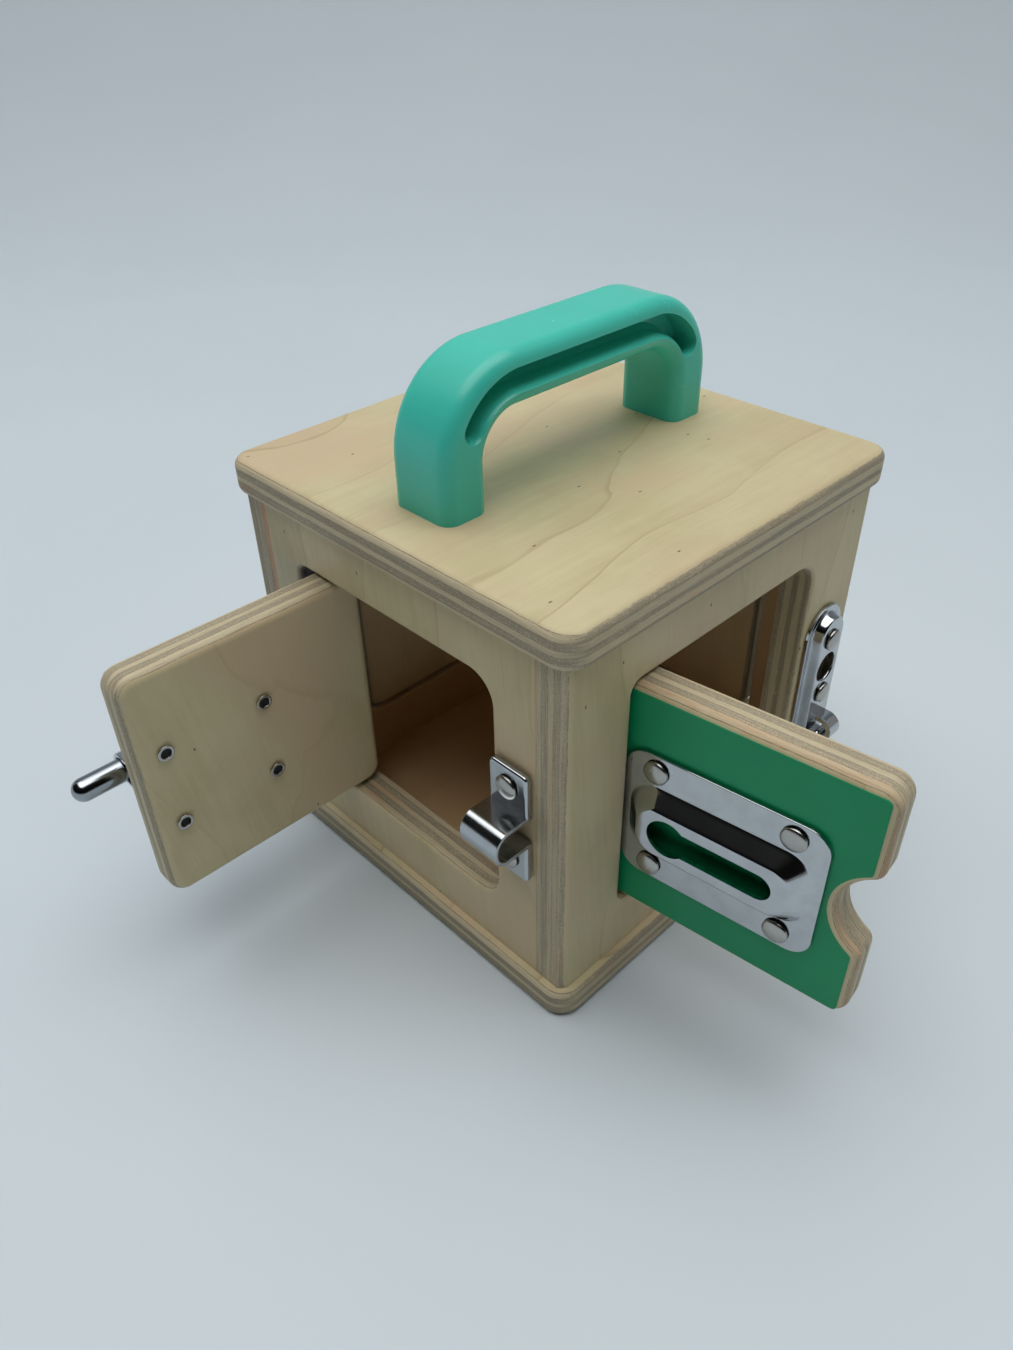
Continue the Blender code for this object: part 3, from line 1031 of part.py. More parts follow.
def swivel_latch(wall_piece):
    """A lever on a pivot beside the back opening, whose tongue turns in over the door's edge."""
    first_edge = OPENING_LATCH_SIDE + SWIVEL_PLATE_BACKSET
    u = first_edge + SWIVEL_PLATE_WIDTH / 2
    half_height = SWIVEL_PLATE_HEIGHT / 2
    outline = rounded_rectangle(
        first_edge, LATCH_HEIGHT - half_height, first_edge + SWIVEL_PLATE_WIDTH, LATCH_HEIGHT + half_height,
        SWIVEL_PLATE_CORNER,
    )
    plate_top = SHEET_SEAM + SWIVEL_PLATE_SHEET
    plate = mesh_object("swivel_plate", slab_mesh("swivel_plate", [outline], SWIVEL_PLATE_SHEET))
    plated(BACK.on_wall(plate, w=plate_top))
    places = [(u, LATCH_HEIGHT + way * SWIVEL_RIVET_RISE / 2) for way in (-1, 1)]
    rivets("swivel_rivet", BACK.on_wall, places, plate_top, (plate, wall_piece))

    hub_foot = plate_top + RUNNING_GAP
    hub_top = hub_foot + SWIVEL_HUB_HEIGHT
    hub = mesh_object("swivel_lever", cylinder_mesh("swivel_lever", SWIVEL_HUB_RADIUS, hub_foot, hub_top))
    plated(BACK.on_wall(hub, u, LATCH_HEIGHT))
    arm_outline = capsule(0.0, -SWIVEL_TAIL_REACH, SWIVEL_ARM_REACH, SWIVEL_ARM_WIDTH / 2)
    arm_top = hub_top - SWIVEL_ARM_SHEET / 2
    arm_mesh = slab_mesh("swivel_arm", [arm_outline], SWIVEL_ARM_SHEET)
    arm_mesh.transform(Matrix.Translation((0.0, 0.0, arm_top)))
    arm = mesh_object("swivel_arm", arm_mesh, cutter=True)
    boolean(hub, BACK.on_wall(arm, u, LATCH_HEIGHT), "UNION")

    head_foot = hub_top + RUNNING_GAP
    tip = -BUTTON_SCREW_BITE
    profile = headed_profile(RIVET_HEAD_RADIUS, head_foot, RIVET_HEAD_HEIGHT, SWIVEL_PIVOT_RADIUS, tip)
    pivot = mesh_object("swivel_pivot", turned_mesh("swivel_pivot", profile))
    plated(BACK.on_wall(pivot, u, LATCH_HEIGHT))
    hole_through(
        "swivel_pivot_hole", BACK.on_wall, u, LATCH_HEIGHT, SWIVEL_PIVOT_RADIUS + RUNNING_GAP,
        tip - RUNNING_GAP, head_foot + OVERRUN, (hub, plate, wall_piece),
    )

    knob_drop = SWIVEL_TAIL_REACH - SWIVEL_ARM_WIDTH / 2
    stem_foot = arm_top + RUNNING_GAP
    ball_middle = stem_foot + SWIVEL_KNOB_STEM_LENGTH + SWIVEL_KNOB_RADIUS
    ball = [
        (SWIVEL_KNOB_RADIUS * math.sin(a), ball_middle + SWIVEL_KNOB_RADIUS * math.cos(a))
        for a in (math.radians(degrees) for degrees in range(0, 151, 25))
    ]
    tenon_radius = SWIVEL_KNOB_STEM_RADIUS - RUNNING_GAP
    tenon_foot = arm_top - SWIVEL_ARM_SHEET
    stem = [(SWIVEL_KNOB_STEM_RADIUS, stem_foot), (tenon_radius, stem_foot), (tenon_radius, tenon_foot)]
    knob_mesh = turned_mesh("swivel_knob", ball + stem + [(0.0, tenon_foot)])
    knob_mesh.transform(Matrix.Translation((0.0, -knob_drop, 0.0)))
    plated(BACK.on_wall(mesh_object("swivel_knob", knob_mesh), u, LATCH_HEIGHT))
    hole_through(
        "swivel_knob_hole", BACK.on_wall, u, LATCH_HEIGHT - knob_drop, SWIVEL_KNOB_STEM_RADIUS,
        hub_foot, arm_top + OVERRUN, (hub,),
    )


def build():
    lid, walls = carcass()
    handle(lid)
    doors = {side.name: door(side) for side in SIDES}
    for side in SIDES:
        hinge_pins(side, doors[side.name][0], walls[side.name])
    barrel_bolt(*doors["front"])
    keeper(walls["front"])
    keyhole_track(*doors["right"])
    chain_anchor(walls["right"])
    chain()
    turn_button(walls["left"])
    pull_knob(*doors["left"])
    swivel_latch(walls["back"])


build()
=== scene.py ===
from math import asin, atan2, cos, hypot, pi, radians, sin, sqrt

import bmesh
import bpy
from mathutils import Matrix, Vector


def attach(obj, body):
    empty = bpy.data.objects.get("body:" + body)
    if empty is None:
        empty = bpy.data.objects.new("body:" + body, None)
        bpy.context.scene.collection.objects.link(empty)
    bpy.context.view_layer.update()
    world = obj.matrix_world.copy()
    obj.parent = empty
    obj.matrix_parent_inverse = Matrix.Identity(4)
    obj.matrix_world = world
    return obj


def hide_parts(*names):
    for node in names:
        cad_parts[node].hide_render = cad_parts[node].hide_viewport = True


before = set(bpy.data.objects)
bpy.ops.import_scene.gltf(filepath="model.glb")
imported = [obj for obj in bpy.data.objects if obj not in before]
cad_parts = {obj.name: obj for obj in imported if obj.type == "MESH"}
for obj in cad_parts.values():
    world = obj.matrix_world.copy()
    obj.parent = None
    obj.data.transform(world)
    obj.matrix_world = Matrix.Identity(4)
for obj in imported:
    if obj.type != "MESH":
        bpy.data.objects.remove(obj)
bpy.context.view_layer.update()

# The base and the top are two square boards of 10 mm birch plywood: seven layers, thin at the faces, with the
# cores' grain crossed. Their arrises and corners are routed round, and they are glued to the walls' ends with
# a small overhang. A board is drawn flat: u and v across its face, w through it, from -thickness to 0.
BOX = 0.125
PLY = 0.010
OVERHANG = 0.0025
SEAM = 0.0003
PANEL_CORNER = 0.0065
PANEL_ARRIS = 0.0025
SKIN = 0.00055
CORES = 5
QUARTER = pi / 2


class Tone:
    """One value in a material's tree, on which sums can be written."""

    def __init__(self, recipe, socket):
        self.recipe = recipe
        self.socket = socket

    def maths(self, operation, *others):
        return self.recipe.node("Math", dict(enumerate((self, *others))), operation=operation)

    def __add__(self, other):
        return self.maths("ADD", other)

    def __sub__(self, other):
        return self.maths("SUBTRACT", other)

    def __rsub__(self, other):
        return self.recipe.node("Math", {0: other, 1: self}, operation="SUBTRACT")

    def __mul__(self, other):
        return self.maths("MULTIPLY", other)

    def __truediv__(self, other):
        return self.maths("DIVIDE", other)

    __radd__ = __add__
    __rmul__ = __mul__

    def between(self, low, high):
        """0 up to low, 1 from high, and smooth in between."""
        inputs = {"Value": self, "From Min": low, "From Max": high}
        return self.recipe.node("MapRange", inputs, interpolation_type="SMOOTHSTEP")


class Recipe:
    """A material, or the light of the room, whose nodes are written as sums."""

    def __init__(self, name, made=None):
        self.made = made or bpy.data.materials.new(name)
        self.made.use_nodes = True
        self.tree = self.made.node_tree
        self.surface = self.tree.nodes["Background" if made else "Principled BSDF"]

    def node(self, kind, inputs=None, out=0, **settings):
        made = self.tree.nodes.new("ShaderNode" + kind)
        for key, value in settings.items():
            setattr(made, key, value)
        self.fill(made, inputs or {})
        return Tone(self, made.outputs[out])

    def fill(self, made, inputs):
        for key, value in inputs.items():
            if isinstance(value, Tone):
                self.tree.links.new(value.socket, made.inputs[key])
            else:
                made.inputs[key].default_value = value

    def finish(self, colour, gloss, normal, **others):
        """Sets the shader's sockets. The names of the others are written with _ for a space."""
        self.fill(self.surface, {"Base Color": colour, "Roughness": gloss, "Normal": normal})
        self.fill(self.surface, {key.replace("_", " "): value for key, value in others.items()})
        return self.made

    def place(self):
        """Where a point is in its piece."""
        return self.node("TexCoord", out="Object")

    def point(self, x, y, z):
        return self.node("CombineXYZ", {"X": x, "Y": y, "Z": z})

    def parts(self, vector):
        split = self.tree.nodes.new("ShaderNodeSeparateXYZ")
        self.tree.links.new(vector.socket, split.inputs[0])
        return [Tone(self, socket) for socket in split.outputs]

    def noise(self, point, scale=1.0, detail=2.0, roughness=0.5):
        inputs = {"Vector": point, "Scale": scale, "Detail": detail, "Roughness": roughness}
        return self.node("TexNoise", inputs)

    def mix(self, share, low, high):
        """A colour between two, whose last value is 1."""
        inputs = {0: share}
        for socket, colour in ((6, low), (7, high)):
            inputs[socket] = colour if isinstance(colour, Tone) else (*colour, 1.0)
        return self.node("Mix", inputs, out=2, data_type="RGBA")

    def bump(self, height, distance):
        return self.node("Bump", {"Height": height, "Distance": distance})


FACE_PALE = (0.630, 0.555, 0.335)
FACE_DEEP = (0.530, 0.448, 0.250)
ROSY = (0.610, 0.465, 0.295)
LATE_WOOD = (0.350, 0.245, 0.115)
PORE = (0.060, 0.032, 0.012)
LONG_GRAIN = (0.600, 0.515, 0.340)
END_GRAIN = (0.310, 0.268, 0.190)
SCORCHED = (0.640, 0.265, 0.100)
GLUE = (0.150, 0.100, 0.060)
# Painted shade: the darker, browner colour that the faces inside the closed box are mixed towards, standing
# in for the shade there.
INTERIOR_SHADE = (0.640, 0.410, 0.215)
UNDER_WALL = 59.0


def birch_plywood(name, seed, thickness, slant, inside, figure, heart=None, amber=0.9, inner_shade=0.72):
    """Varnished birch plywood, with growth rings on its faces and layers in its edges.

    It reads its place in the board, in millimetres. heart is the number of a core of amber heartwood, where
    the board has one, and the last argument says how far the face on the board's inner side is painted darker
    and browner, as painted shade inside the box."""
    recipe = Recipe(name)
    mix, noise, point = recipe.mix, recipe.noise, recipe.point
    board = recipe.node("Attribute", out="Vector", attribute_name="board")
    flat_u, flat_v, height = [part * 1000.0 for part in recipe.parts(board)]
    endways = recipe.node("Attribute", out="Fac", attribute_name="endways")
    depth = 0.0 - height
    across, along = flat_u + flat_v * slant, flat_v
    whole, veneer = thickness * 1000.0, SKIN * 1000.0

    def figured(u_scale, v_scale, offset, detail=2.0, roughness=0.5):
        """Noise in the face, drawn out along the grain."""
        spot = point(across * u_scale, along * v_scale, seed + offset)
        return noise(spot, 1.0, detail, roughness)

    def layered(spread, drop, detail=3.0, roughness=0.6):
        """Noise in the edges, drawn out along the layers."""
        spot = point(flat_u * spread, flat_v * spread, depth * drop + seed)
        return noise(spot, 1.0, detail, roughness)

    sway = figured(0.010, 0.006, 0.0, 2.0, 0.45)
    wobble = figured(0.10, 0.022, 7.0)
    ring = (across * 0.034 + sway * 4.6 + wobble * 0.22).maths("FRACT")
    shut = 1.0 - ring.between(0.985, 1.0)
    patch = figured(0.05, 0.012, 3.0).between(0.34, 0.66)
    late = ring.between(0.40, 0.99) * shut
    line = ring.between(0.945, 0.985) * shut
    fibre = figured(2.6, 0.09, 11.0, 4.0, 0.6)
    streak = figured(0.42, 0.016, 19.0, 3.0, 0.55)
    mottle = figured(0.040, 0.030, 23.0, 4.0, 0.6)
    grain = (fibre - 0.5) * 0.60 + (streak - 0.5) * 0.80 + (mottle - 0.5) * 1.6 + late * (0.16 * figure)
    face = mix((grain + 0.40).between(0.0, 1.0), FACE_PALE, FACE_DEEP)
    blush = figured(0.030, 0.016, 41.0, 3.0)
    face = mix(blush.between(0.40, 0.66) * 0.75, face, ROSY)
    lines = line * ((0.07 + patch * 0.36) * figure) + late * late * (0.06 * figure)
    face = mix(lines, face, LATE_WOOD)
    cell = {"Vector": point(across * 0.16 + fibre * 0.03, along * 0.075, seed), "Scale": 1.0}
    near = recipe.node("TexVoronoi", cell, voronoi_dimensions="2D")
    chosen = recipe.parts(recipe.node("TexVoronoi", cell, "Color", voronoi_dimensions="2D"))[0]
    share = 0.11 * figure
    pore = (1.0 - near.between(0.022, 0.052)) * chosen.between(1.0 - share, 1.01 - share)
    face = mix(pore * 0.80, face, PORE)

    core = (whole - 2.0 * veneer) / CORES
    sanded = depth + (layered(0.09, 0.2) - 0.5) * 0.42
    layer = (sanded - veneer) / core
    number = layer.maths("FLOOR")
    odd = ((layer + 0.5).maths("MODULO", 2.0) - 1.0).maths("ABSOLUTE").between(0.36, 0.46)
    crossed = 1.0 - (odd - endways).maths("ABSOLUTE")
    run = layered(0.05, 2.2, 5.0, 0.65)
    speck = layered(2.1, 2.4)
    vein = layered(0.22, 7.0)
    apart = noise(point(number * 3.7 + seed, flat_u * 0.010, flat_v * 0.010), 1.0, 1.0)
    dark = crossed * (0.42 + 0.16 * figure) + (run - 0.5) * 1.3 + (apart - 0.5) * 0.7
    dark = dark + (vein - 0.5) * (1.1 - crossed * 0.6) + (speck - 0.5) * (0.4 + crossed * 1.2)
    edge = mix((dark + 0.22).between(0.0, 1.0), LONG_GRAIN, END_GRAIN)
    warm = noise(point(flat_u * 0.030, flat_v * 0.030, number * 2.3 + seed), 1.0, 3.0)
    brown = warm.between(0.58, 0.74) * 0.35
    if heart is not None:
        brown = brown + (1.0 - (number - heart).maths("ABSOLUTE").between(0.6, 0.7)) * amber
    veined = 0.4 + vein.between(0.42, 0.60) * 0.8
    edge = mix(brown * run.between(0.36, 0.54) * veined, edge, SCORCHED)
    part = layer.maths("FRACT")
    seam = 1.0 - part.between(0.0, 0.08) * (1.0 - part.between(0.92, 1.0))
    first = 1.0 - sanded.between(veneer + 0.02, veneer + 0.12)
    broken = noise(point(flat_u * 0.5, flat_v * 0.5, seed), 1.0, 3.0, 0.6).between(0.36, 0.62)
    edge = mix(seam * (0.10 + broken * 0.30) + first * broken * 0.60, edge, GLUE)
    other = whole - veneer
    cut = sanded.between(veneer - 0.02, veneer + 0.02) * (1.0 - sanded.between(other - 0.02, other + 0.02))
    # Painted shade: the face on the board's inner side, away from the edges under the walls, is mixed towards
    # the interior shade colour.
    if inside != "neither":
        painted_shade = depth.between(whole / 2 - 1.0, whole / 2 + 1.0)
        if inside != "back":
            painted_shade = painted_shade if inside == "room under" else 1.0 - painted_shade
            for place in (flat_u, flat_v):
                painted_shade = painted_shade * (1.0 - place.maths("ABSOLUTE").between(UNDER_WALL - 0.3, UNDER_WALL))
        face = mix(painted_shade * inner_shade, face, INTERIOR_SHADE)
    colour = mix(cut, face, edge)
    relief = (fibre * 0.5 + streak * 0.5) * (1.0 - cut) + (speck * 0.6 + run * 0.8) * cut - pore * 1.2
    gloss = 0.46 + (fibre - 0.5) * 0.16 + cut * 0.16
    return recipe.finish(colour, gloss, recipe.bump(relief, 0.00007), Specular_IOR_Level=0.42)


def arc(centre_u, centre_v, radius, start, end, steps):
    """Points along an arc, both ends among them."""
    turns = [start + (end - start) * step / steps for step in range(steps + 1)]
    return [(centre_u + radius * cos(a), centre_v + radius * sin(a)) for a in turns]


def rounded(left, foot, right, top, radius, steps=12, left_radius=None):
    """Points round a rectangle with rounded corners, whose two left ones may have a radius of their own."""
    other = radius if left_radius is None else left_radius
    points = arc(right - radius, foot + radius, radius, -QUARTER, 0.0, steps)
    points += arc(right - radius, top - radius, radius, 0.0, QUARTER, steps)
    points += arc(left + other, top - other, other, QUARTER, 2 * QUARTER, steps)
    return points + arc(left + other, foot + other, other, 2 * QUARTER, 3 * QUARTER, steps)


def oblong(left, foot, right, top):
    return [(left, foot), (right, foot), (right, top), (left, top)]


def at(u, v, w):
    return Matrix.Translation((u, v, w))


def spun(angle, axis="Z"):
    return Matrix.Rotation(angle, 4, axis)


def moved(mesh, matrix):
    mesh.transform(matrix)
    return mesh


def evaluated(thing):
    """The finished mesh of a scratch object, which is then removed."""
    bpy.context.view_layer.update()
    mesh = bpy.data.meshes.new_from_object(thing.evaluated_get(bpy.context.evaluated_depsgraph_get()))
    bpy.data.objects.remove(thing, do_unlink=True)
    return mesh


def drawn(name, points, edges=(), faces=()):
    mesh = bpy.data.meshes.new(name)
    mesh.from_pydata(points, edges, faces)
    return mesh


def scratch(name, data):
    thing = bpy.data.objects.new(name, data)
    bpy.context.scene.collection.objects.link(thing)
    return thing


def smooth(mesh, angle=35.0):
    mesh.shade_smooth()
    mesh.set_sharp_from_angle(angle=radians(angle))
    return mesh


def closed_up(mesh):
    """Welds what meets and turns the faces outwards."""
    work = bmesh.new()
    work.from_mesh(mesh)
    bmesh.ops.remove_doubles(work, verts=work.verts, dist=0.000002)
    bmesh.ops.recalc_face_normals(work, faces=work.faces)
    work.to_mesh(mesh)
    work.free()
    return mesh


def slab(outlines, thickness, arris=0.0, steps=6, top=0.0):
    """A flat plate under a top, from a closed outline and any holes in it, with rounded arrises."""
    curve = bpy.data.curves.new("slab", "CURVE")
    curve.dimensions = "2D"
    curve.fill_mode = "BOTH"
    curve.extrude = thickness / 2 - arris
    curve.bevel_depth = arris
    curve.bevel_resolution = steps
    curve.offset = -arris
    for points in outlines:
        spline = curve.splines.new("POLY")
        spline.points.add(len(points) - 1)
        for point, (u, v) in zip(spline.points, points):
            point.co = (u, v, 0.0, 1.0)
        spline.use_cyclic_u = True
    return smooth(moved(closed_up(evaluated(scratch("slab", curve))), at(0, 0, top - thickness / 2)))


def carved(mesh, cutters, operation="DIFFERENCE"):
    """A mesh with others cut from it, or joined to it."""
    thing = scratch("carved", mesh)
    tools = [scratch("cutter", cutter) for cutter in cutters]
    for tool in tools:
        modifier = thing.modifiers.new("cut", "BOOLEAN")
        modifier.operation = operation
        modifier.solver = "EXACT"
        modifier.object = tool
    result = evaluated(thing)
    for tool in tools:
        bpy.data.objects.remove(tool, do_unlink=True)
    return smooth(closed_up(result))


def drawn_on_board(mesh):
    """Stores for the plywood where each point is in the flat board, and which edges show end grain."""
    mesh.attributes.new("board", "FLOAT_VECTOR", "POINT")
    mesh.attributes.new("endways", "FLOAT", "POINT")
    place, endways = mesh.attributes["board"].data, mesh.attributes["endways"].data
    for index, vertex in enumerate(mesh.vertices):
        place[index].vector = vertex.co
        flat = hypot(vertex.normal.x, vertex.normal.y)
        endways[index].value = abs(vertex.normal.y) / flat if flat > 0.2 else 0.5
    return mesh


def piece(name, mesh, matrix, material, body, slot, *nodes):
    """A finished piece, standing for its CAD nodes and riding on their body."""
    mesh.transform(matrix)
    mesh.name = name
    mesh.materials.clear()
    mesh.materials.append(material)
    thing = scratch(name, mesh)
    even = thing.modifiers.new("even shading", "WEIGHTED_NORMAL")
    even.keep_sharp = True
    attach(thing, body)
    if nodes:
        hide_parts(*nodes)


half_panel = BOX / 2
panel_outline = rounded(-half_panel, -half_panel, half_panel, half_panel, PANEL_CORNER)
for name, height, seed, inside in (("base", PLY, 4.0, "room over"), ("top", BOX, 31.0, "room under")):
    board = drawn_on_board(slab([panel_outline], PLY, PANEL_ARRIS, 8))
    birch = birch_plywood(name + "_birch", seed, PLY, 0.0, inside, 1.0)
    piece(name + "_board", board, at(0, 0, height), birch, "box", "plywood", name + "_panel")

# The four walls are boards of the same plywood, cut through by a doorway with round corners. The left and
# the right one cover the ends of the others, so that their layers show at the corners. A wall is drawn as
# seen from outside: u to the right, v up and w out of it, from its outer face.
HALF_WALL = BOX / 2 - OVERHANG
WALL_ARRIS = 0.0022
DOORWAY_ARRIS = 0.0016
INNER_ARRIS = 0.0008
WALL_FOOT = PLY
WALL_TOP = BOX - PLY
HINGE_SIDE = 0.0382
LATCH_SIDE = 0.0360
SILL = 0.0275
HEAD = 0.1002
DOORWAY_CORNER = 0.0075
HINGE_CORNER = 0.0032
ANCHOR_U = 0.0458
PARK_V = 0.0628
PARK_RADIUS = 0.0045
PARK_DEPTH = 0.0060


def side_frame(quarter):
    """Takes a wall's u, v and w to the box."""
    flat = Matrix(((1, 0, 0, 0), (0, 0, -1, -HALF_WALL), (0, 1, 0, 0), (0, 0, 0, 1)))
    return spun(quarter * QUARTER) @ flat


def wall_mesh(half_width, ends_show):
    doorway = rounded(-HINGE_SIDE, SILL, LATCH_SIDE, HEAD, DOORWAY_CORNER, left_radius=HINGE_CORNER)
    mesh = slab([oblong(-half_width, WALL_FOOT, half_width, WALL_TOP), doorway], PLY)
    work = bmesh.new()
    work.from_mesh(mesh)
    bmesh.ops.dissolve_limit(work, angle_limit=radians(1), verts=work.verts, edges=work.edges)
    weights = work.edges.layers.float.new("bevel_weight_edge")
    for edge in work.edges:
        if len(edge.link_faces) != 2 or edge.calc_face_angle(0.0) < radians(60):
            continue
        ends = [vertex.co for vertex in edge.verts]
        inside = all(abs(co.x) < half_width - WALL_ARRIS for co in ends)
        inside = inside and all(WALL_FOOT + WALL_ARRIS < co.y < WALL_TOP - WALL_ARRIS for co in ends)
        upright = all(abs(co.x) > half_width - WALL_ARRIS and co.z > -WALL_ARRIS for co in ends)
        upright = upright and abs(ends[0].y - ends[1].y) > PLY
        if inside:
            outside = max(co.z for co in ends) > -WALL_ARRIS
            edge[weights] = (DOORWAY_ARRIS if outside else INNER_ARRIS) / WALL_ARRIS
        elif ends_show and upright:
            edge[weights] = 1.0
    work.to_mesh(mesh)
    work.free()
    thing = scratch("wall", mesh)
    bevel = thing.modifiers.new("arrises", "BEVEL")
    bevel.limit_method = "WEIGHT"
    bevel.width = WALL_ARRIS
    bevel.segments = 7
    bevel.use_clamp_overlap = False
    return smooth(evaluated(thing))


SIDES = {side: side_frame(number) for number, side in enumerate(("front", "right", "back", "left"))}
for number, (side, place) in enumerate(SIDES.items()):
    covers = side in ("right", "left")
    half_width = HALF_WALL if covers else HALF_WALL - PLY
    mesh = wall_mesh(half_width, covers)
    if side == "right":
        ring = arc(ANCHOR_U, PARK_V, PARK_RADIUS, -pi, pi, 40)[1:]
        mesh = carved(mesh, [slab([ring], 2 * PARK_DEPTH, top=PARK_DEPTH)])
    heart = 4.5 if side == "left" else None
    birch = birch_plywood(side + "_wall_birch", 51.0 + 13.0 * number, PLY, 0.10, "back", 0.6, heart)
    piece(side + "_frame", drawn_on_board(mesh), place, birch, "box", "plywood", side + "_wall")

# The carrying handle is one moulding of satin plastic: two feet and a bar with round bends. A groove runs
# along each flank, whose wall is given from its lip to its floor. Two screws hold it through the top board.
HANDLE_LENGTH = 0.0965
HANDLE_WIDTH = 0.0205
HANDLE_HEIGHT = 0.0360
HANDLE_BAR = 0.0135
HANDLE_BEND = 0.0240
HANDLE_ARRIS = 0.0038
HANDLE_X = 0.0015
HANDLE_Y = -0.00075
GROOVE_TOP = 0.0029
GROOVE_SWEEP = radians(58)
GROOVE_WALL = ((0.0044, -0.0020), (0.0034, -0.0001), (0.0029, 0.0006), (0.0025, 0.0016), (0.0022, 0.0060),
               (0.0008, 0.0076))
MINT = (0.066, 0.600, 0.480)
MINT_DEEP = (0.050, 0.520, 0.410)


def moulded(name, colour, deeper):
    """Satin moulded plastic: a faint flow in its colour, and the fine skin that the mould leaves."""
    recipe = Recipe(name)
    place = recipe.place()
    flow = recipe.noise(place, 45.0, 3.0)
    skin = recipe.noise(place, 2600.0)
    dents = recipe.noise(place, 160.0)
    base = recipe.mix(flow.between(0.35, 0.70) * 0.35, colour, deeper)
    relief = recipe.bump(skin * 0.1 + dents * 0.9, 0.00003)
    return recipe.finish(base, 0.26 + (dents - 0.5) * 0.06, relief, Specular_IOR_Level=0.4)


half = HANDLE_LENGTH / 2
inner_half = half - HANDLE_BAR
inner_bend = HANDLE_BEND - HANDLE_BAR
underside = HANDLE_HEIGHT - HANDLE_BAR
buried = -1.5 * HANDLE_ARRIS
outline = [(-half, buried), (HANDLE_BAR - half, buried)]
outline += arc(inner_bend - inner_half, underside - inner_bend, inner_bend, pi, QUARTER, 16)
outline += arc(inner_half - inner_bend, underside - inner_bend, inner_bend, QUARTER, 0.0, 16)
outline += [(half - HANDLE_BAR, buried), (half, buried)]
outline += arc(half - HANDLE_BEND, HANDLE_HEIGHT - HANDLE_BEND, HANDLE_BEND, 0.0, QUARTER, 24)
outline += arc(HANDLE_BEND - half, HANDLE_HEIGHT - HANDLE_BEND, HANDLE_BEND, QUARTER, pi, 24)
middle_bend = HANDLE_BEND - HANDLE_BAR / 2
bend_v = HANDLE_HEIGHT - HANDLE_BEND
bend_u = half - HANDLE_BEND
end_turn = QUARTER - GROOVE_SWEEP


def groove_outline(foot):
    """A groove's outline on a flank, down to a foot below the bar's middle, round both bends."""
    reach = middle_bend + (GROOVE_TOP - foot) / 2
    half_groove = (GROOVE_TOP + foot) / 2
    end_u = bend_u + reach * cos(end_turn)
    end_v = bend_v + reach * sin(end_turn)
    points = arc(bend_u, bend_v, reach + half_groove, end_turn, QUARTER, 16)
    points += arc(-bend_u, bend_v, reach + half_groove, QUARTER, pi - end_turn, 16)
    points += arc(-end_u, end_v, half_groove, pi - end_turn, 2 * pi - end_turn, 10)[1:-1]
    points += arc(-bend_u, bend_v, reach - half_groove, pi - end_turn, QUARTER, 16)
    points += arc(bend_u, bend_v, reach - half_groove, QUARTER, end_turn, 16)
    points += arc(end_u, end_v, half_groove, end_turn - pi, end_turn, 10)[1:-1]
    return points


def loft(rings):
    """A closed skin through rings of points, each ring a list of (u, v) and a height, capped at both ends."""
    count = len(rings[0][0])
    verts = [(u, v, height) for outline, height in rings for u, v in outline]
    faces = [tuple(range(count)), tuple(range(len(verts) - count, len(verts)))]
    for row in range(len(rings) - 1):
        for index in range(count):
            after = (index + 1) % count
            faces.append((row * count + index, row * count + after,
                          (row + 1) * count + after, (row + 1) * count + index))
    return smooth(closed_up(drawn("loft", verts, faces=faces)), 50.0)


grip = slab([outline], HANDLE_WIDTH, HANDLE_ARRIS, 8)
near_groove = loft([(groove_outline(foot), -depth) for foot, depth in GROOVE_WALL])
mirrored = at(0, 0, -HANDLE_WIDTH) @ Matrix.Scale(-1.0, 4, (0.0, 0.0, 1.0))
far_groove = closed_up(moved(near_groove.copy(), mirrored))
below = slab([oblong(-1.1 * half, 2.2 * buried, 1.1 * half, 0.0)], HANDLE_WIDTH * 2.2, top=HANDLE_WIDTH / 2)
grip = carved(grip, (near_groove, far_groove, below))
upright = Matrix(((0, 0, 1, HANDLE_X + HANDLE_WIDTH / 2), (1, 0, 0, HANDLE_Y), (0, 1, 0, BOX), (0, 0, 0, 1)))
mint = moulded("mint_plastic", MINT, MINT_DEEP)
piece("carrying_handle", grip, upright, mint, "box", "handle_plastic", "handle")

# The two screws of the handle and the eight pins that the doors turn on are plain zinc-plated steel. The
# parts of the latches are plated too, some brighter and some duller.


def brushed(name, colour, roughness):
    """Plated steel with fine scratches, a little duller where it is handled, and painted near black in a
    rivet's bore, as painted shade for its deep hole.
    """
    recipe = Recipe(name)
    scratches = recipe.noise(recipe.place(), 900.0, 4.0, 0.6)
    haze = recipe.noise(recipe.place(), 220.0, 3.0, 0.55)
    tint = recipe.mix(haze.between(0.35, 0.75) * 0.5, colour, [part * 0.80 for part in colour])
    # Painted shade: where a rivet's bore attribute is set, the colour goes near black and rougher, standing
    # in for the shade deep in the hollow tail.
    bore = recipe.node("Attribute", out="Fac", attribute_name="bore")
    tint = recipe.mix(bore * 0.93, tint, (0.02, 0.02, 0.02))
    gloss = roughness * (1.0 + (haze - 0.5) * 0.8 + (scratches - 0.5) * 0.5) + bore * 0.4
    return recipe.finish(tint, gloss, recipe.bump(scratches, 0.000004), Metallic=1.0)


zinc = brushed("zinc_plate", (0.50, 0.51, 0.52), 0.34)
chrome = brushed("bright_plate", (0.505, 0.530, 0.555), 0.10)
satin_chrome = brushed("satin_plate", (0.460, 0.490, 0.515), 0.17)
nickel = brushed("rivet_plate", (0.440, 0.430, 0.410), 0.24)
# The sliding bolt's plating has a darker colour than the other chrome, as painted shade for the dark side of
# the room that it mirrors.
steel = brushed("bolt_plate", (0.330, 0.355, 0.380), 0.14)
for name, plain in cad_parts.items():
    if "hinge_pin" in name or "handle_screw" in name:
        plain.data.materials.clear()
        plain.data.materials.append(zinc)

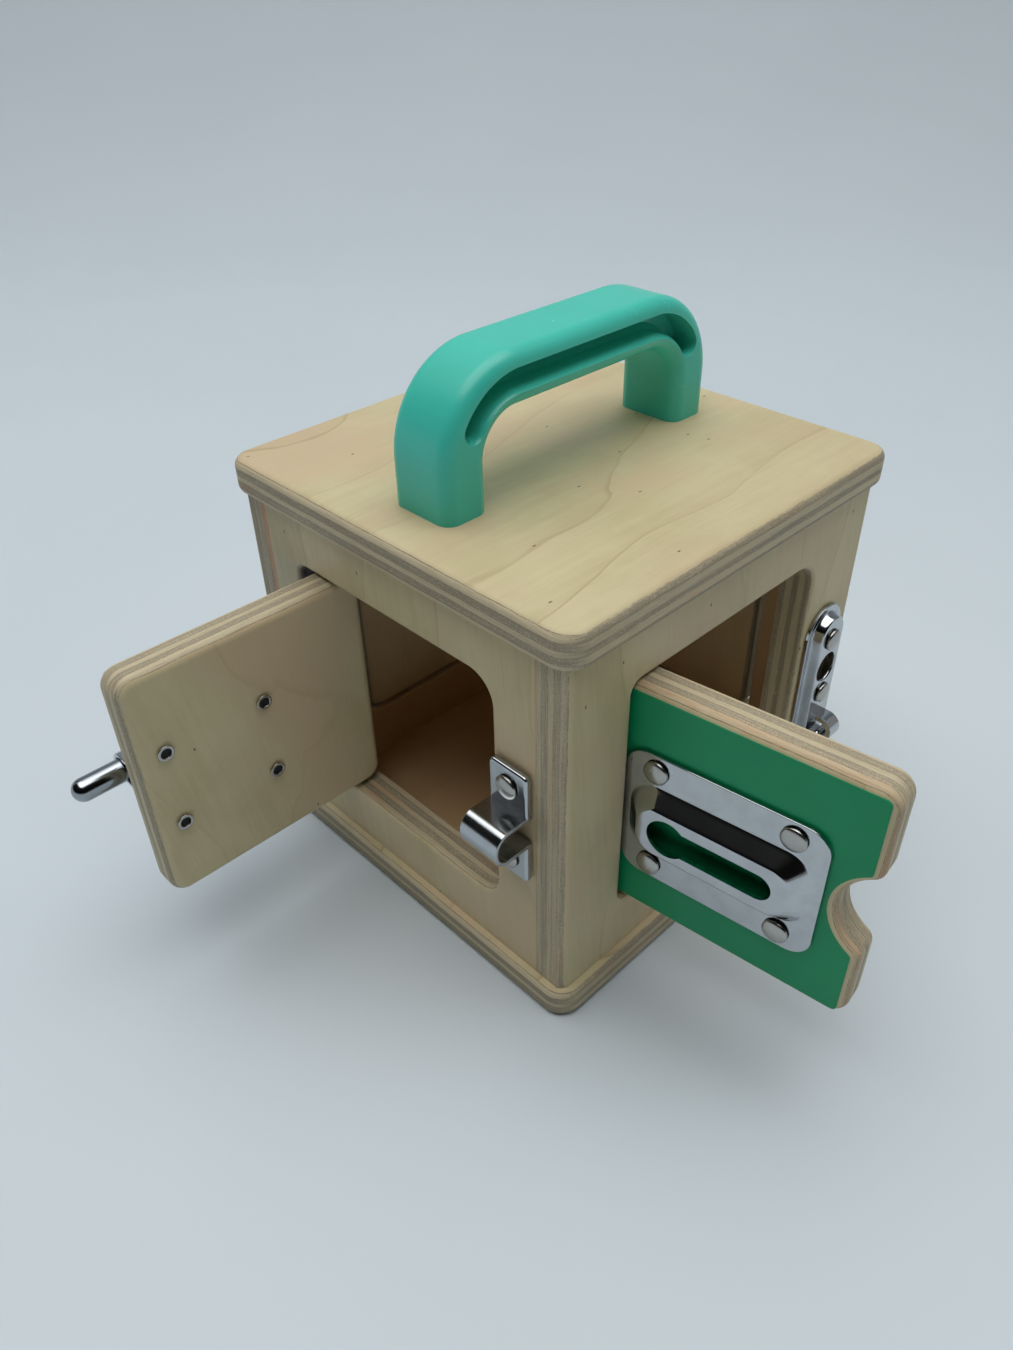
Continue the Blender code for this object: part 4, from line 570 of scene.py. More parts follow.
# The doors are the same plywood, each with a thin coloured laminate let into its outer face. They hang on
# pins at their left edge. The right one has a finger notch in its free edge. A door is drawn from its hinge
# edge.
DOOR_HINGE_GAP = 0.0022
DOOR_LATCH_GAP = 0.0018
DOOR_FOOT = SILL + 0.0008
DOOR_TOP = HEAD - 0.0005
DOOR_WIDTH = HINGE_SIDE + LATCH_SIDE - DOOR_HINGE_GAP - DOOR_LATCH_GAP
DOOR_CORNER = 0.0050
DOOR_ARRIS = 0.00255
FACING = 0.0003
FACING_MARGIN = 0.0020
FACING_CORNER = 0.0015
SANDED_OFF = 0.0001
LEAF = PLY - SANDED_OFF
LATCH_V = 0.0632
NOTCH_RADIUS = 0.0130
NOTCH_OUTSET = 0.0052
NOTCH_SHOULDER = 0.0035


def door_frame(side, depth, inset, opened):
    """Takes a door's u, v and w to the box, turned open on its pins by an angle."""
    axis = at(DOOR_HINGE_GAP - HINGE_SIDE + inset, depth - HALF_WALL, 0)
    flat = Matrix(((1, 0, 0, -inset), (0, 0, -1, -depth), (0, 1, 0, 0), (0, 0, 0, 1)))
    quarter = spun(list(SIDES).index(side) * QUARTER)
    return quarter @ axis @ spun(radians(-opened)) @ flat


def door_outline(notched, margin, corner=DOOR_CORNER):
    right = DOOR_WIDTH - margin
    steps = 10
    outline = rounded(margin, DOOR_FOOT + margin, right, DOOR_TOP - margin, corner, steps)
    if not notched:
        return outline
    radius = NOTCH_RADIUS + margin
    shoulder = NOTCH_SHOULDER - margin
    centre_u = DOOR_WIDTH + NOTCH_OUTSET
    across = centre_u - right + shoulder
    rise = sqrt((radius + shoulder) ** 2 - across * across)
    lean = atan2(rise, across)
    lower = arc(right - shoulder, LATCH_V - rise, shoulder, 0.0, lean, 6)
    bite = arc(centre_u, LATCH_V, radius, pi + lean, pi - lean, 20)
    upper = arc(right - shoulder, LATCH_V + rise, shoulder, -lean, 0.0, 6)
    return outline[:steps + 1] + lower + bite[1:-1] + upper + outline[steps + 1:]


def laminate(name, colour):
    """Thin coloured laminate with a satin face, its colour a little uneven, with faint rubs."""
    recipe = Recipe(name)
    place = recipe.place()
    cloud = recipe.noise(place, 30.0, 3.0)
    skin = recipe.noise(place, 1800.0)
    rub = recipe.noise(place, 110.0, 5.0, 0.65)
    base = recipe.mix(cloud.between(0.30, 0.75) * 0.7, colour, [part * 0.80 for part in colour])
    gloss = 0.32 + (rub - 0.5) * 0.16 + (skin - 0.5) * 0.08
    relief = recipe.bump(skin * 0.4 + rub * 0.6, 0.00002)
    return recipe.finish(base, gloss, relief, Specular_IOR_Level=0.28)


GREEN = (0.006, 0.320, 0.128)
BLUE = (0.012, 0.090, 0.330)
YELLOW = (0.780, 0.440, 0.020)
RED = (0.520, 0.035, 0.022)
PINS = (0.0036, 0.0056)
RIGHT_PINS = (0.0053, 0.0040)
DOORS = {
    "front": (PINS, 90.4, "blue", BLUE),
    "right": (RIGHT_PINS, 83.1, "green", GREEN),
    "back": (PINS, 0.0, "yellow", YELLOW),
    "left": (PINS, 0.0, "red", RED),
}
ON_DOOR = {}
for number, (side, ((depth, inset), opened, word, colour)) in enumerate(DOORS.items()):
    place = ON_DOOR[side] = door_frame(side, depth, inset, opened)
    notched = side == "right"
    leaf = drawn_on_board(slab([door_outline(notched, SANDED_OFF)], LEAF, DOOR_ARRIS, 8))
    # A closed door's inner face gets the painted interior shade; an open door's does not.
    inside, heart = "neither" if opened else "back", 0.0 if notched else None
    seed, body, door = 131.0 + 17.0 * number, side + "_leaf", side + "_door"
    birch = birch_plywood(door + "_birch", seed, LEAF, -0.16, inside, 0.5, heart, 0.3, 0.42)
    piece(body, leaf, place @ at(0, 0, LEAF - PLY), birch, body, "plywood", door)
    skin = slab([door_outline(notched, FACING_MARGIN, FACING_CORNER)], FACING)
    facing = laminate(word + "_laminate", colour)
    piece(side + "_facing", skin, place, facing, body, word + "_facing", door + "_facing")

# The barrel bolt's plate and its two straps are pressed from steel sheet and chromed, and held by four blind
# rivets. The bolt slides through the straps by its knob. The rivets' heads are domed, and their tails show as
# rings on the door's inner face.
BOLT_RADIUS = 0.0032
BOLT_LENGTH = 0.0502
BOLT_THROW = 0.0120
BOLT_RISE = 0.0065
BOLT_KNOB = 0.0046
BOLT_KNOB_HEIGHT = 0.0055
BOLT_KNOB_BACK = 0.0282
BOLT_NECK = 0.0046
BOLT_STEM = 0.0022
PLATE_WIDTH = 0.0417
PLATE_HEIGHT = 0.0326
PLATE_CORNER = 0.0067
PLATE_ARRIS = 0.0007
PLATE_DEPTH = 0.0028
PLATE_INSET = 0.0005
PLATE_RAISE = 0.0007
BOLT_SHEET = 0.0011
STRAP_WIDTH = 0.0080
STRAP_EDGE = 0.0012
STRIP_ARRIS = 0.0003
BOLT_RIVET_INSET = 0.0077
BOLT_RIVET_SPAN = 0.0283
BOLT_RIVET_RISE = 0.0234
GAP = 0.0003
RIVET_HEAD = 0.00325
RIVET_RIM = 0.00025
RIVET_DOME = 0.0012
RIVET_SHANK = 0.0016
RIVET_TAIL = 0.00225
TAIL_LENGTH = 0.0006
TAIL_BORE = 0.00145
BORE_DEPTH = 0.0007
ON_ITS_SIDE = Matrix(((0, 0, 1, 0), (1, 0, 0, 0), (0, 1, 0, 0), (0, 0, 0, 1)))


def lathe(profile, steps=40):
    """A turned solid about w, from (radius, height) points from its top to its foot, both on the axis."""
    edges = [(index, index + 1) for index in range(len(profile) - 1)]
    thing = scratch("turned", drawn("turned", [(radius, 0.0, height) for radius, height in profile], edges))
    screw = thing.modifiers.new("turn", "SCREW")
    screw.steps = screw.render_steps = steps
    screw.use_merge_vertices = True
    screw.merge_threshold = 0.000003
    return smooth(closed_up(evaluated(thing)))


def dome(radius, foot, rise, steps=9, sweep=90):
    """The profile of a dome on its foot's height, from the axis out."""
    turns = [radians(sweep) * step / steps for step in range(steps + 1)]
    return [(radius * sin(a), foot + rise * cos(a)) for a in turns]


def stem(radius, top, foot):
    """The rest of a profile: straight down, then in to the axis."""
    return [(radius, top), (radius, foot), (0.0, foot)]


def ball(radius, middle, rise):
    """The profile of a ball, open at its foot for a stem."""
    return dome(radius, middle, rise, 15, 150)


def rounded_profile(points, radius, steps=4):
    """A profile whose inner corners are rounded, for an edge that catches the light."""
    done = [points[0]]
    for before, corner, after in zip(points, points[1:], points[2:]):
        a, b, c = Vector(before), Vector(corner), Vector(after)
        first, second = (a - b), (c - b)
        reach = min(radius, first.length * 0.45, second.length * 0.45)
        start, end = b + first.normalized() * reach, b + second.normalized() * reach
        for step in range(steps + 1):
            t = step / steps
            done.append(tuple(start * (1 - t) ** 2 + b * 2 * t * (1 - t) + end * t ** 2))
    return done + [points[-1]]


def rivet(grip):
    """One blind rivet: its head's underside at 0, and its hollow tail rolled over past the grip."""
    foot = -grip - TAIL_LENGTH
    tail = rounded_profile([
        (RIVET_HEAD, 0.0), (RIVET_SHANK, 0.0), (RIVET_SHANK, -grip), (RIVET_TAIL, -grip), (RIVET_TAIL, foot),
        (TAIL_BORE, foot), (TAIL_BORE - 0.0001, foot + BORE_DEPTH), (0.0, foot + BORE_DEPTH + 0.0001),
    ], 0.0002)
    mesh = lathe(dome(RIVET_HEAD, RIVET_RIM, RIVET_DOME - RIVET_RIM) + tail, 32)
    # The bore's floor is marked for painted shade: it is drawn shallow and painted dark so that it stands in
    # for a deep, shaded hole.
    bore = mesh.attributes.new("bore", "FLOAT", "POINT").data
    for index, (x, y, z) in enumerate(vertex.co for vertex in mesh.vertices):
        in_painted_shade = 0.0003 < z - foot < 0.0010 and hypot(x, y) < TAIL_BORE
        bore[index].value = 1.0 if in_painted_shade else 0.0
    return mesh


def geometry_tree(name, *inputs):
    """A node group that plates what it makes: the group, what it is given, and where what is made goes."""
    tree = bpy.data.node_groups.new(name, "GeometryNodeTree")
    for label, kind in (*inputs, ("Plating", "Material")):
        tree.interface.new_socket(label, in_out="INPUT", socket_type="NodeSocket" + kind)
    tree.interface.new_socket("Made", in_out="OUTPUT", socket_type="NodeSocketGeometry")
    add, link = tree.nodes.new, tree.links.new
    start, end = add("NodeGroupInput"), add("NodeGroupOutput")
    real, coat = add("GeometryNodeRealizeInstances"), add("GeometryNodeSetMaterial")
    link(real.outputs[0], coat.inputs["Geometry"])
    link(start.outputs["Plating"], coat.inputs["Material"])
    link(coat.outputs[0], end.inputs[0])
    return tree, start.outputs, real.inputs[0]


def grown(thing, tree, **values):
    """The mesh that a node group makes from a scratch object."""
    modifier = thing.modifiers.new("grown", "NODES")
    modifier.node_group = tree
    for item in tree.interface.items_tree:
        if item.in_out == "INPUT" and item.name in values:
            modifier[item.identifier] = values[item.name]
    return evaluated(thing)


# A copy of one rivet is set on every point, each turned about its axis by a random angle.
RIVETS, given, made = geometry_tree("rivets_on_points", ("Points", "Geometry"), ("Rivet", "Object"),
                                    ("Seed", "Int"))
add, link = RIVETS.nodes.new, RIVETS.links.new
source, put = add("GeometryNodeObjectInfo"), add("GeometryNodeInstanceOnPoints")
turn, spin = add("FunctionNodeRandomValue"), add("ShaderNodeCombineXYZ")
turn.inputs[3].default_value = 2 * pi
link(given["Seed"], turn.inputs["Seed"])
link(turn.outputs[1], spin.inputs["Z"])
link(given["Rivet"], source.inputs["Object"])
link(given["Points"], put.inputs["Points"])
link(source.outputs["Geometry"], put.inputs["Instance"])
link(spin.outputs[0], put.inputs["Rotation"])
link(put.outputs[0], made)


def rivets(name, spots, sheet, place, body):
    """All the rivets of one plate, as one piece, their heads on the plate's sheet."""
    points = drawn(name, [(u, v, sheet + SEAM) for u, v in spots])
    sample = scratch("rivet", rivet(sheet + PLY + 2 * SEAM))
    mesh = grown(scratch(name, points), RIVETS, Rivet=sample, Plating=nickel, Seed=5)
    bpy.data.objects.remove(sample, do_unlink=True)
    nodes = ["%s_%d" % (name[:-1], number + 1) for number in range(len(spots))]
    piece(name, smooth(mesh), place, nickel, body, "chrome", *nodes)


def grid(centre_u, centre_v, span, rise):
    return [(centre_u + i * span / 2, centre_v + j * rise / 2) for i in (-1, 1) for j in (-1, 1)]


def plated(name, mesh, place, body, node, plating=chrome):
    piece(name, mesh, place, plating, body, "chrome", node)


plate_right = DOOR_WIDTH - PLATE_INSET
plate_left = plate_right - PLATE_WIDTH
bolt_v = LATCH_V + PLATE_RAISE
half_height = PLATE_HEIGHT / 2
outline = rounded(plate_left, bolt_v - half_height, plate_right - STRAP_EDGE, bolt_v + half_height,
                            PLATE_CORNER)
plate = slab([outline], PLATE_DEPTH - SEAM, PLATE_ARRIS, 5, PLATE_DEPTH)
inner, outer = BOLT_RADIUS + GAP, BOLT_RADIUS + GAP + BOLT_SHEET
sunk = PLATE_DEPTH - BOLT_SHEET / 2
strap = [(-outer, sunk), (-inner, sunk)] + arc(0.0, BOLT_RISE, inner, pi, 0.0, 24)
strap += [(inner, sunk), (outer, sunk)] + arc(0.0, BOLT_RISE, outer, 0.0, pi, 24)
straps = [moved(slab([strap], STRAP_WIDTH, STRIP_ARRIS, 3), at(far_edge, LATCH_V, 0) @ ON_ITS_SIDE)
          for far_edge in (plate_right - STRAP_EDGE, plate_left + STRAP_EDGE + STRAP_WIDTH)]
plated("bolt_backplate", carved(plate, straps, "UNION"), ON_DOOR["front"], "front_leaf", "bolt_plate")
rivet_u = DOOR_WIDTH - BOLT_RIVET_INSET - BOLT_RIVET_SPAN / 2
rivets("bolt_rivets", grid(rivet_u, bolt_v, BOLT_RIVET_SPAN, BOLT_RIVET_RISE), PLATE_DEPTH,
       ON_DOOR["front"], "front_leaf")

tip_u = DOOR_WIDTH + BOLT_THROW
nose = dome(BOLT_RADIUS, -BOLT_RADIUS, BOLT_RADIUS, 10)
shaft = rounded_profile([nose[-1], (BOLT_RADIUS, -BOLT_LENGTH), (0.0, -BOLT_LENGTH)], 0.0005)
bolt = moved(lathe(nose + shaft[1:], 48), at(tip_u, LATCH_V, BOLT_RISE) @ spun(QUARTER, "Y"))
plated("sliding_bolt", bolt, ON_DOOR["front"], "front_bolt", "bolt_rod", steel)
head_foot = BOLT_RADIUS + GAP + BOLT_NECK
head = ball(BOLT_KNOB, head_foot + BOLT_KNOB_HEIGHT / 2, BOLT_KNOB_HEIGHT / 2)
knob = lathe(head + stem(BOLT_STEM, head_foot, BOLT_RADIUS - 0.0004))
knob = moved(knob, at(tip_u - BOLT_KNOB_BACK, LATCH_V, BOLT_RISE))
plated("bolt_finger_knob", knob, ON_DOOR["front"], "front_bolt", "bolt_knob")

# The keeper beside the front doorway is a bent and chromed strip, whose loop takes the end of the bolt. Two
# blind rivets hold its flat ends.
KEEPER_WIDTH = 0.0125
KEEPER_EDGE = 0.0373
KEEPER_TOP = 0.0174
KEEPER_FOOT = 0.0173
KEEPER_DEPTH = 0.0025
KEEPER_CORNER = 0.0014
KEEPER_ARRIS = 0.0008
KEEPER_SHEET = 0.0011
KEEPER_RIVET = 0.0116
LOOP_TOP = 0.0047
LOOP_FOOT = 0.0054
LOOP_REACH = 0.0127
NOSE = 0.0042


def loop_nose(height, depth, way, steps=28):
    middle = (LOOP_TOP - LOOP_FOOT) / 2
    turns = [way * QUARTER * (1 - 2 * step / steps) for step in range(steps + 1)]
    return [(middle + height * sin(a), LOOP_REACH - NOSE + depth * cos(a)) for a in turns]


keeper_right = KEEPER_EDGE + KEEPER_WIDTH
half_loop = (LOOP_TOP + LOOP_FOOT) / 2
inner_top, inner_foot = LOOP_TOP - KEEPER_SHEET, KEEPER_SHEET - LOOP_FOOT
outline = [(-LOOP_FOOT, SEAM)] + loop_nose(half_loop, NOSE, -1) + [(LOOP_TOP, SEAM), (inner_top, SEAM)]
outline += loop_nose(half_loop - KEEPER_SHEET, NOSE - KEEPER_SHEET, 1) + [(inner_foot, SEAM)]
loop = slab([outline], KEEPER_WIDTH, STRIP_ARRIS, 3)
loop = moved(loop, at(keeper_right, LATCH_V, 0) @ ON_ITS_SIDE)
outline = rounded(KEEPER_EDGE, LATCH_V - KEEPER_FOOT, keeper_right, LATCH_V + KEEPER_TOP,
                            KEEPER_CORNER)
strip = slab([outline], KEEPER_DEPTH - SEAM, KEEPER_ARRIS, 5, KEEPER_DEPTH)
hollow = oblong(KEEPER_EDGE - PLY, LATCH_V + inner_foot, keeper_right + PLY, LATCH_V + inner_top)
strip = carved(strip, [slab([hollow], PLY, top=PLY / 2)])
plated("keeper_strip", carved(strip, [loop], "UNION"), SIDES["front"], "box", "keeper", satin_chrome)
spots = [(KEEPER_EDGE + KEEPER_WIDTH / 2, LATCH_V + way * KEEPER_RIVET) for way in (-1, 1)]
rivets("keeper_rivets", spots, KEEPER_DEPTH, SIDES["front"], "box")

# The keyhole track on the right door is pressed from chromed sheet: a flat rim with a raised channel, and a
# keyhole slot along the channel, in which the chain's knob slides. Four blind rivets hold it.
TRACK_V = LATCH_V - 0.0004
TRACK_SHEET = 0.0009
TRACK_RISE = 0.0050
TRACK_RIVETS = (0.0348, 0.0302)
KEYHOLE_U = 0.0223
KEYHOLE = 0.0054
KEYHOLE_SLOT = 0.0038
KEYHOLE_RUN = 0.0233


def pressed(outline, sheet, top, bend=0.14, lip=0.00025):
    """A pressed plate: a flat rim and a raised crown, whose slope begins and ends in a bend.

    outline draws the rim's edge at 0, the slope's foot at 1 and the crown's edge at 2, less a margin. bend is
    a bend's share of the rise."""
    rim_top = SEAM + sheet
    upper = [(2.0, top)]
    for step in range(13):
        share = 1.0 - step / 12
        low, high = share / bend, (1.0 - share) / bend
        rise = share - bend / 2
        if low < 1.0:
            rise = bend / 2 * low * low
        elif high < 1.0:
            rise = 1.0 - bend - bend / 2 * high * high
        upper.append((1.0 + share, rim_top + (top - rim_top) * rise / (1.0 - bend)))
    rings = [(outline(share, 0.0), height) for share, height in upper]
    for step in range(6):
        turn = QUARTER * step / 5
        rings.append((outline(0.0, lip * (1.0 - sin(turn))), rim_top - lip * (1.0 - cos(turn))))
    rings.append((outline(0.0, 0.0), SEAM))
    for share, height in reversed(upper):
        rings.append((outline(share, sheet * 0.9), max(SEAM, height - sheet)))
    return loft(rings)


top = SEAM + TRACK_RISE
# The rim's edge, the channel's foot and its crown: the middle, the half length and height, and the corners.
TRACK_OUTLINES = (
    (0.03340, 0.02590, 0.01970, 0.0060),
    (0.03345, 0.02395, 0.01095, 0.0072),
    (0.03345, 0.01900, 0.00665, 0.0045),
)


def track_outline(share, draw_in):
    first = min(int(share), 1)
    part = share - first
    pairs = zip(TRACK_OUTLINES[first], TRACK_OUTLINES[first + 1])
    middle, half_long, half_high, corner = (a + (b - a) * part for a, b in pairs)
    half_long, half_high, corner = half_long - draw_in, half_high - draw_in, max(corner - draw_in, 0.001)
    return rounded(middle - half_long, TRACK_V - half_high, middle + half_long, TRACK_V + half_high,
                             corner, 14)


lean = asin(KEYHOLE_SLOT / KEYHOLE)
keyhole = arc(0.0, 0.0, KEYHOLE, lean, 2 * pi - lean, 40)
keyhole += arc(KEYHOLE_RUN, 0.0, KEYHOLE_SLOT, -QUARTER, QUARTER, 20)
slot = moved(slab([keyhole], TRACK_RISE), at(KEYHOLE_U, TRACK_V, top + 0.002))
track = carved(pressed(track_outline, TRACK_SHEET, top), [slot])
plated("keyhole_track", track, ON_DOOR["right"], "right_leaf", "track_plate")
spots = grid(TRACK_OUTLINES[0][0], TRACK_V, *TRACK_RIVETS)
rivets("track_rivets", spots, SEAM + TRACK_SHEET, ON_DOOR["right"], "right_leaf")

# The chain's anchor is a long pressed plate with round ends on the right wall. It has a raised middle, a
# hole in which the knob is parked, and a tongue bent out to hold the chain's ring. Two blind rivets hold
# it.
ANCHOR_HALF = 0.0083
ANCHOR_TOP = 0.0822
ANCHOR_FOOT = 0.0345
ANCHOR_SHEET = 0.0009
ANCHOR_RISE = 0.0040
ANCHOR_FLANGE = 0.0017
ANCHOR_SLOPE = 0.0014
ANCHOR_RIVETS = (0.0537, 0.0725)
PARK_ROUND = 0.0007
TONGUE_WIDTH = 0.0050
TONGUE_SHEET = 0.0015
TONGUE_REACH = 0.0106
TONGUE_HEIGHT = 0.0084
TONGUE_ARRIS = 0.0008
WIRE = 0.0009
PITCH = 0.0090
SLACK = 0.0004
CHAIN_KNOB = 0.0049
CHAIN_TOP = CHAIN_KNOB + 0.0002 + 4 * PITCH


def capsule(centre_u, foot, top, radius, steps=24):
    points = arc(centre_u, foot + radius, radius, -pi, 0.0, steps)
    return points + arc(centre_u, top - radius, radius, 0.0, pi, steps)


def anchor_outline(share, draw_in):
    inset = ANCHOR_FLANGE * min(share, 1.0) + ANCHOR_SLOPE * max(share - 1.0, 0.0) + draw_in
    return capsule(ANCHOR_U, ANCHOR_FOOT + inset, ANCHOR_TOP - inset, ANCHOR_HALF - inset)


def softened(mesh, width):
    """A mesh with its sharp edges rounded."""
    thing = scratch("softened", mesh)
    bevel = thing.modifiers.new("arris", "BEVEL")
    bevel.width = width
    bevel.segments = 4
    bevel.limit_method = "ANGLE"
    bevel.angle_limit = radians(25)
    bevel.miter_outer = "MITER_ARC"
    return smooth(evaluated(thing), 50.0)


def bow(radius, root):
    """The outline of a tongue bent back on itself, or of the hollow in it, from its root on the plate."""
    turned = arc(radius, TONGUE_REACH - TONGUE_HEIGHT / 2, radius, pi, 0.0, 24)
    return [(0.0, root)] + turned + [(2 * radius, root)]


eye_foot = CHAIN_TOP - WIRE - SLACK
half_tongue = TONGUE_HEIGHT / 2
tongue = slab([bow(half_tongue, ANCHOR_RISE - ANCHOR_SHEET / 2)], TONGUE_WIDTH)
tongue = moved(tongue, at(ANCHOR_U + TONGUE_WIDTH / 2, eye_foot - TONGUE_SHEET, 0) @ ON_ITS_SIDE)
plate = pressed(anchor_outline, ANCHOR_SHEET, ANCHOR_RISE, 0.45)
plate = carved(plate, [softened(tongue, TONGUE_ARRIS)], "UNION")
eye = slab([bow(half_tongue - TONGUE_SHEET, ANCHOR_RISE)], TONGUE_WIDTH * 2)
eye = moved(eye, at(ANCHOR_U + TONGUE_WIDTH, eye_foot, 0) @ ON_ITS_SIDE)
wide, over, under = PARK_RADIUS + PARK_ROUND, ANCHOR_RISE + 0.002, -0.002
rim = arc(wide, ANCHOR_RISE - PARK_ROUND, PARK_ROUND, QUARTER, pi, 6)
park = lathe([(0.0, over), (wide, over)] + rim + [(PARK_RADIUS, under), (0.0, under)], 48)
plate = carved(plate, [eye, moved(park, at(ANCHOR_U, PARK_V, 0))])
plated("anchor_plate", plate, SIDES["right"], "box", "chain_anchor")
rivets("anchor_rivets", [(ANCHOR_U, height) for height in ANCHOR_RIVETS], ANCHOR_RISE, SIDES["right"], "box")

# The chain is bent and plated steel wire: a ring round the anchor's tongue, then six links, each hooked round
# the foot of the one before, and a turned knob with an eye. It hangs, and its last links lie on the ground.
LINK_EYE = WIRE * 2 + SLACK
TAIL_TURN = radians(30)
KNOB_EYE = 0.0036
COLLAR = 0.0042
COLLAR_HEIGHT = 0.0014
NECK = 0.0028
NECK_HEIGHT = 0.0026
CHAIN_DOME = 0.0024
LINKS, given, made = geometry_tree("chain_link", ("Centre line", "Geometry"), ("Wire", "Float"))
add, link = LINKS.nodes.new, LINKS.links.new
line, section = add("GeometryNodeMeshToCurve"), add("GeometryNodeCurvePrimitiveCircle")
sweep = add("GeometryNodeCurveToMesh")
section.inputs["Resolution"].default_value = 16
link(given["Centre line"], line.inputs[0])
link(given["Wire"], section.inputs["Radius"])
link(line.outputs[0], sweep.inputs["Curve"])
link(section.outputs["Curve"], sweep.inputs["Profile Curve"])
link(sweep.outputs[0], made)


def wire_loop(name, half_width, top, foot):
    """The mesh of one link, flat in its own x and z."""
    outline = rounded(-half_width, foot, half_width, top, LINK_EYE, 10)
    edges = [(index, (index + 1) % len(outline)) for index in range(len(outline))]
    line = closed_up(drawn(name, [(x, 0.0, z) for x, z in outline], edges))
    return smooth(closed_up(grown(scratch(name, line), LINKS, Wire=WIRE, Plating=chrome)))


def hung(spot, way, across):
    """Takes a link that hangs down from its own origin to a spot of the chain, along its way."""
    turn = Matrix((across, across.cross(way), -way)).transposed().to_4x4()
    return spun(QUARTER) @ Matrix.Translation(spot) @ turn


right, out, up = Vector((1.0, 0.0, 0.0)), Vector((0.0, -1.0, 0.0)), Vector((0.0, 0.0, 1.0))
tail = sin(TAIL_TURN) * out - cos(TAIL_TURN) * right
beside = sin(TAIL_TURN) * right + cos(TAIL_TURN) * out
ways = [(-up, right), (-up, out), (-up, right), (-up, out), (-right, up), (tail, beside), (tail, up)]
spot = Vector((ANCHOR_U, -HALF_WALL - TONGUE_REACH + TONGUE_HEIGHT / 2, CHAIN_TOP))
for number, (way, across) in enumerate(ways):
    name = "link_%d" % number if number else "ring"
    half_width, top = (LINK_EYE, LINK_EYE) if number else (TONGUE_WIDTH / 2 + SLACK + WIRE, 0.0)
    loop = wire_loop(name, half_width, top, -PITCH)
    plated("wire_" + name, loop, hung(spot, way, across), name, "chain_" + name)
    spot = spot + way * PITCH
collar_top = WIRE / 2 - KNOB_EYE
collar_foot = collar_top - COLLAR_HEIGHT
neck_foot = collar_foot - NECK_HEIGHT
cap = dome(CHAIN_KNOB, neck_foot, -CHAIN_DOME, 10)[::-1]
head = rounded_profile([(0.0, collar_top), (COLLAR, collar_top), (COLLAR, collar_foot), (NECK, collar_foot),
                        (NECK, neck_foot), cap[0]], 0.0004)
knob = carved(lathe(head + cap[1:]), [wire_loop("knob_eye", LINK_EYE, LINK_EYE, -KNOB_EYE)], "UNION")
plated("chain_end_knob", knob, hung(spot, tail, beside), "knob", "chain_knob")

# The left door has a turned beech knob, and a beech bar that turns on a screw beside the doorway. Both are
# lacquered red, and the screw's head has a cross slot.
BUTTON_U = LATCH_SIDE + 0.0085
BUTTON_TOP = 0.0075
BUTTON_THICKNESS = 0.0060
BUTTON_HALF = 0.0150
BUTTON_END = 0.0055
BUTTON_ARRIS = 0.0015
SCREW_HOLE = 0.0020
SCREW_HEAD = 0.0034
SCREW_DOME = 0.0018
SCREW_SHANK = 0.0017
SCREW_FOOT = -0.0070
SLOT_HALF = 0.0019
SLOT_HALF_WIDTH = 0.00035
SLOT_DEPTH = 0.0016
SLOT_TOP = 0.0024
SLOT_TURN = 0.3
PULL_RADIUS = 0.0075
PULL_HEIGHT = 0.0130
PULL_NECK = 0.0050
PULL_STEM = 0.0042
PULL_INSET = 0.0130


def lacquered(name, colour):
    """Beech under coloured lacquer: the pores show faintly through it."""
    recipe = Recipe(name)
    x, y, z = [part * 1000.0 for part in recipe.parts(recipe.place())]
    pores = recipe.noise(recipe.point(x * 2.2, y * 2.2, z * 0.25), 1.0, 3.0, 0.6)
    cloud = recipe.noise(recipe.point(x * 0.12, y * 0.12, z * 0.05), 1.0, 3.0)
    shade = cloud.between(0.3, 0.7) * 0.6 + pores.between(0.5, 0.8) * 0.3
    base = recipe.mix(shade, colour, [part * 0.62 for part in colour])
    gloss = 0.30 + (pores - 0.5) * 0.14
    return recipe.finish(base, gloss, recipe.bump(pores, 0.00003), Coat_Weight=0.3)


red_lacquer = lacquered("red_lacquer", RED)
bar = capsule(0.0, -BUTTON_HALF, BUTTON_HALF, BUTTON_END)
bar = slab([bar], BUTTON_THICKNESS, BUTTON_ARRIS, top=BUTTON_TOP)
middle, over = BUTTON_TOP - BUTTON_THICKNESS / 2, BUTTON_TOP + 0.002
boss = lathe([(0.0, middle)] + stem(SCREW_HEAD, middle, GAP))
bore = lathe([(0.0, over)] + stem(SCREW_HOLE, over, -0.002))
bar = carved(carved(bar, [boss], "UNION"), [bore])
at_button = SIDES["left"] @ at(BUTTON_U, LATCH_V, 0)
piece("turn_button", bar, at_button, red_lacquer, "left_turn_button", "red_wood", "left_button")
foot = BUTTON_TOP + GAP
screw = lathe(dome(SCREW_HEAD, foot, SCREW_DOME) + stem(SCREW_SHANK, foot, SCREW_FOOT), 32)
slots = []
for turn in (SLOT_TURN, SLOT_TURN + QUARTER):
    blade = oblong(-SLOT_HALF, -SLOT_HALF_WIDTH, SLOT_HALF, SLOT_HALF_WIDTH)
    slots.append(moved(slab([blade], SLOT_DEPTH, top=foot + SLOT_TOP), spun(turn)))
piece("button_screw", carved(screw, slots), at_button, zinc, "box", "zinc", "left_button_screw")
head = ball(PULL_RADIUS, (PULL_NECK + PULL_HEIGHT) / 2, (PULL_HEIGHT - PULL_NECK) / 2)
knob = lathe(rounded_profile(head + stem(PULL_STEM, PULL_NECK, SEAM), 0.0006), 48)
at_knob = ON_DOOR["left"] @ at(DOOR_WIDTH - PULL_INSET, LATCH_V, 0)
piece("pull_knob", knob, at_knob, red_lacquer, "left_leaf", "red_wood", "left_pull")

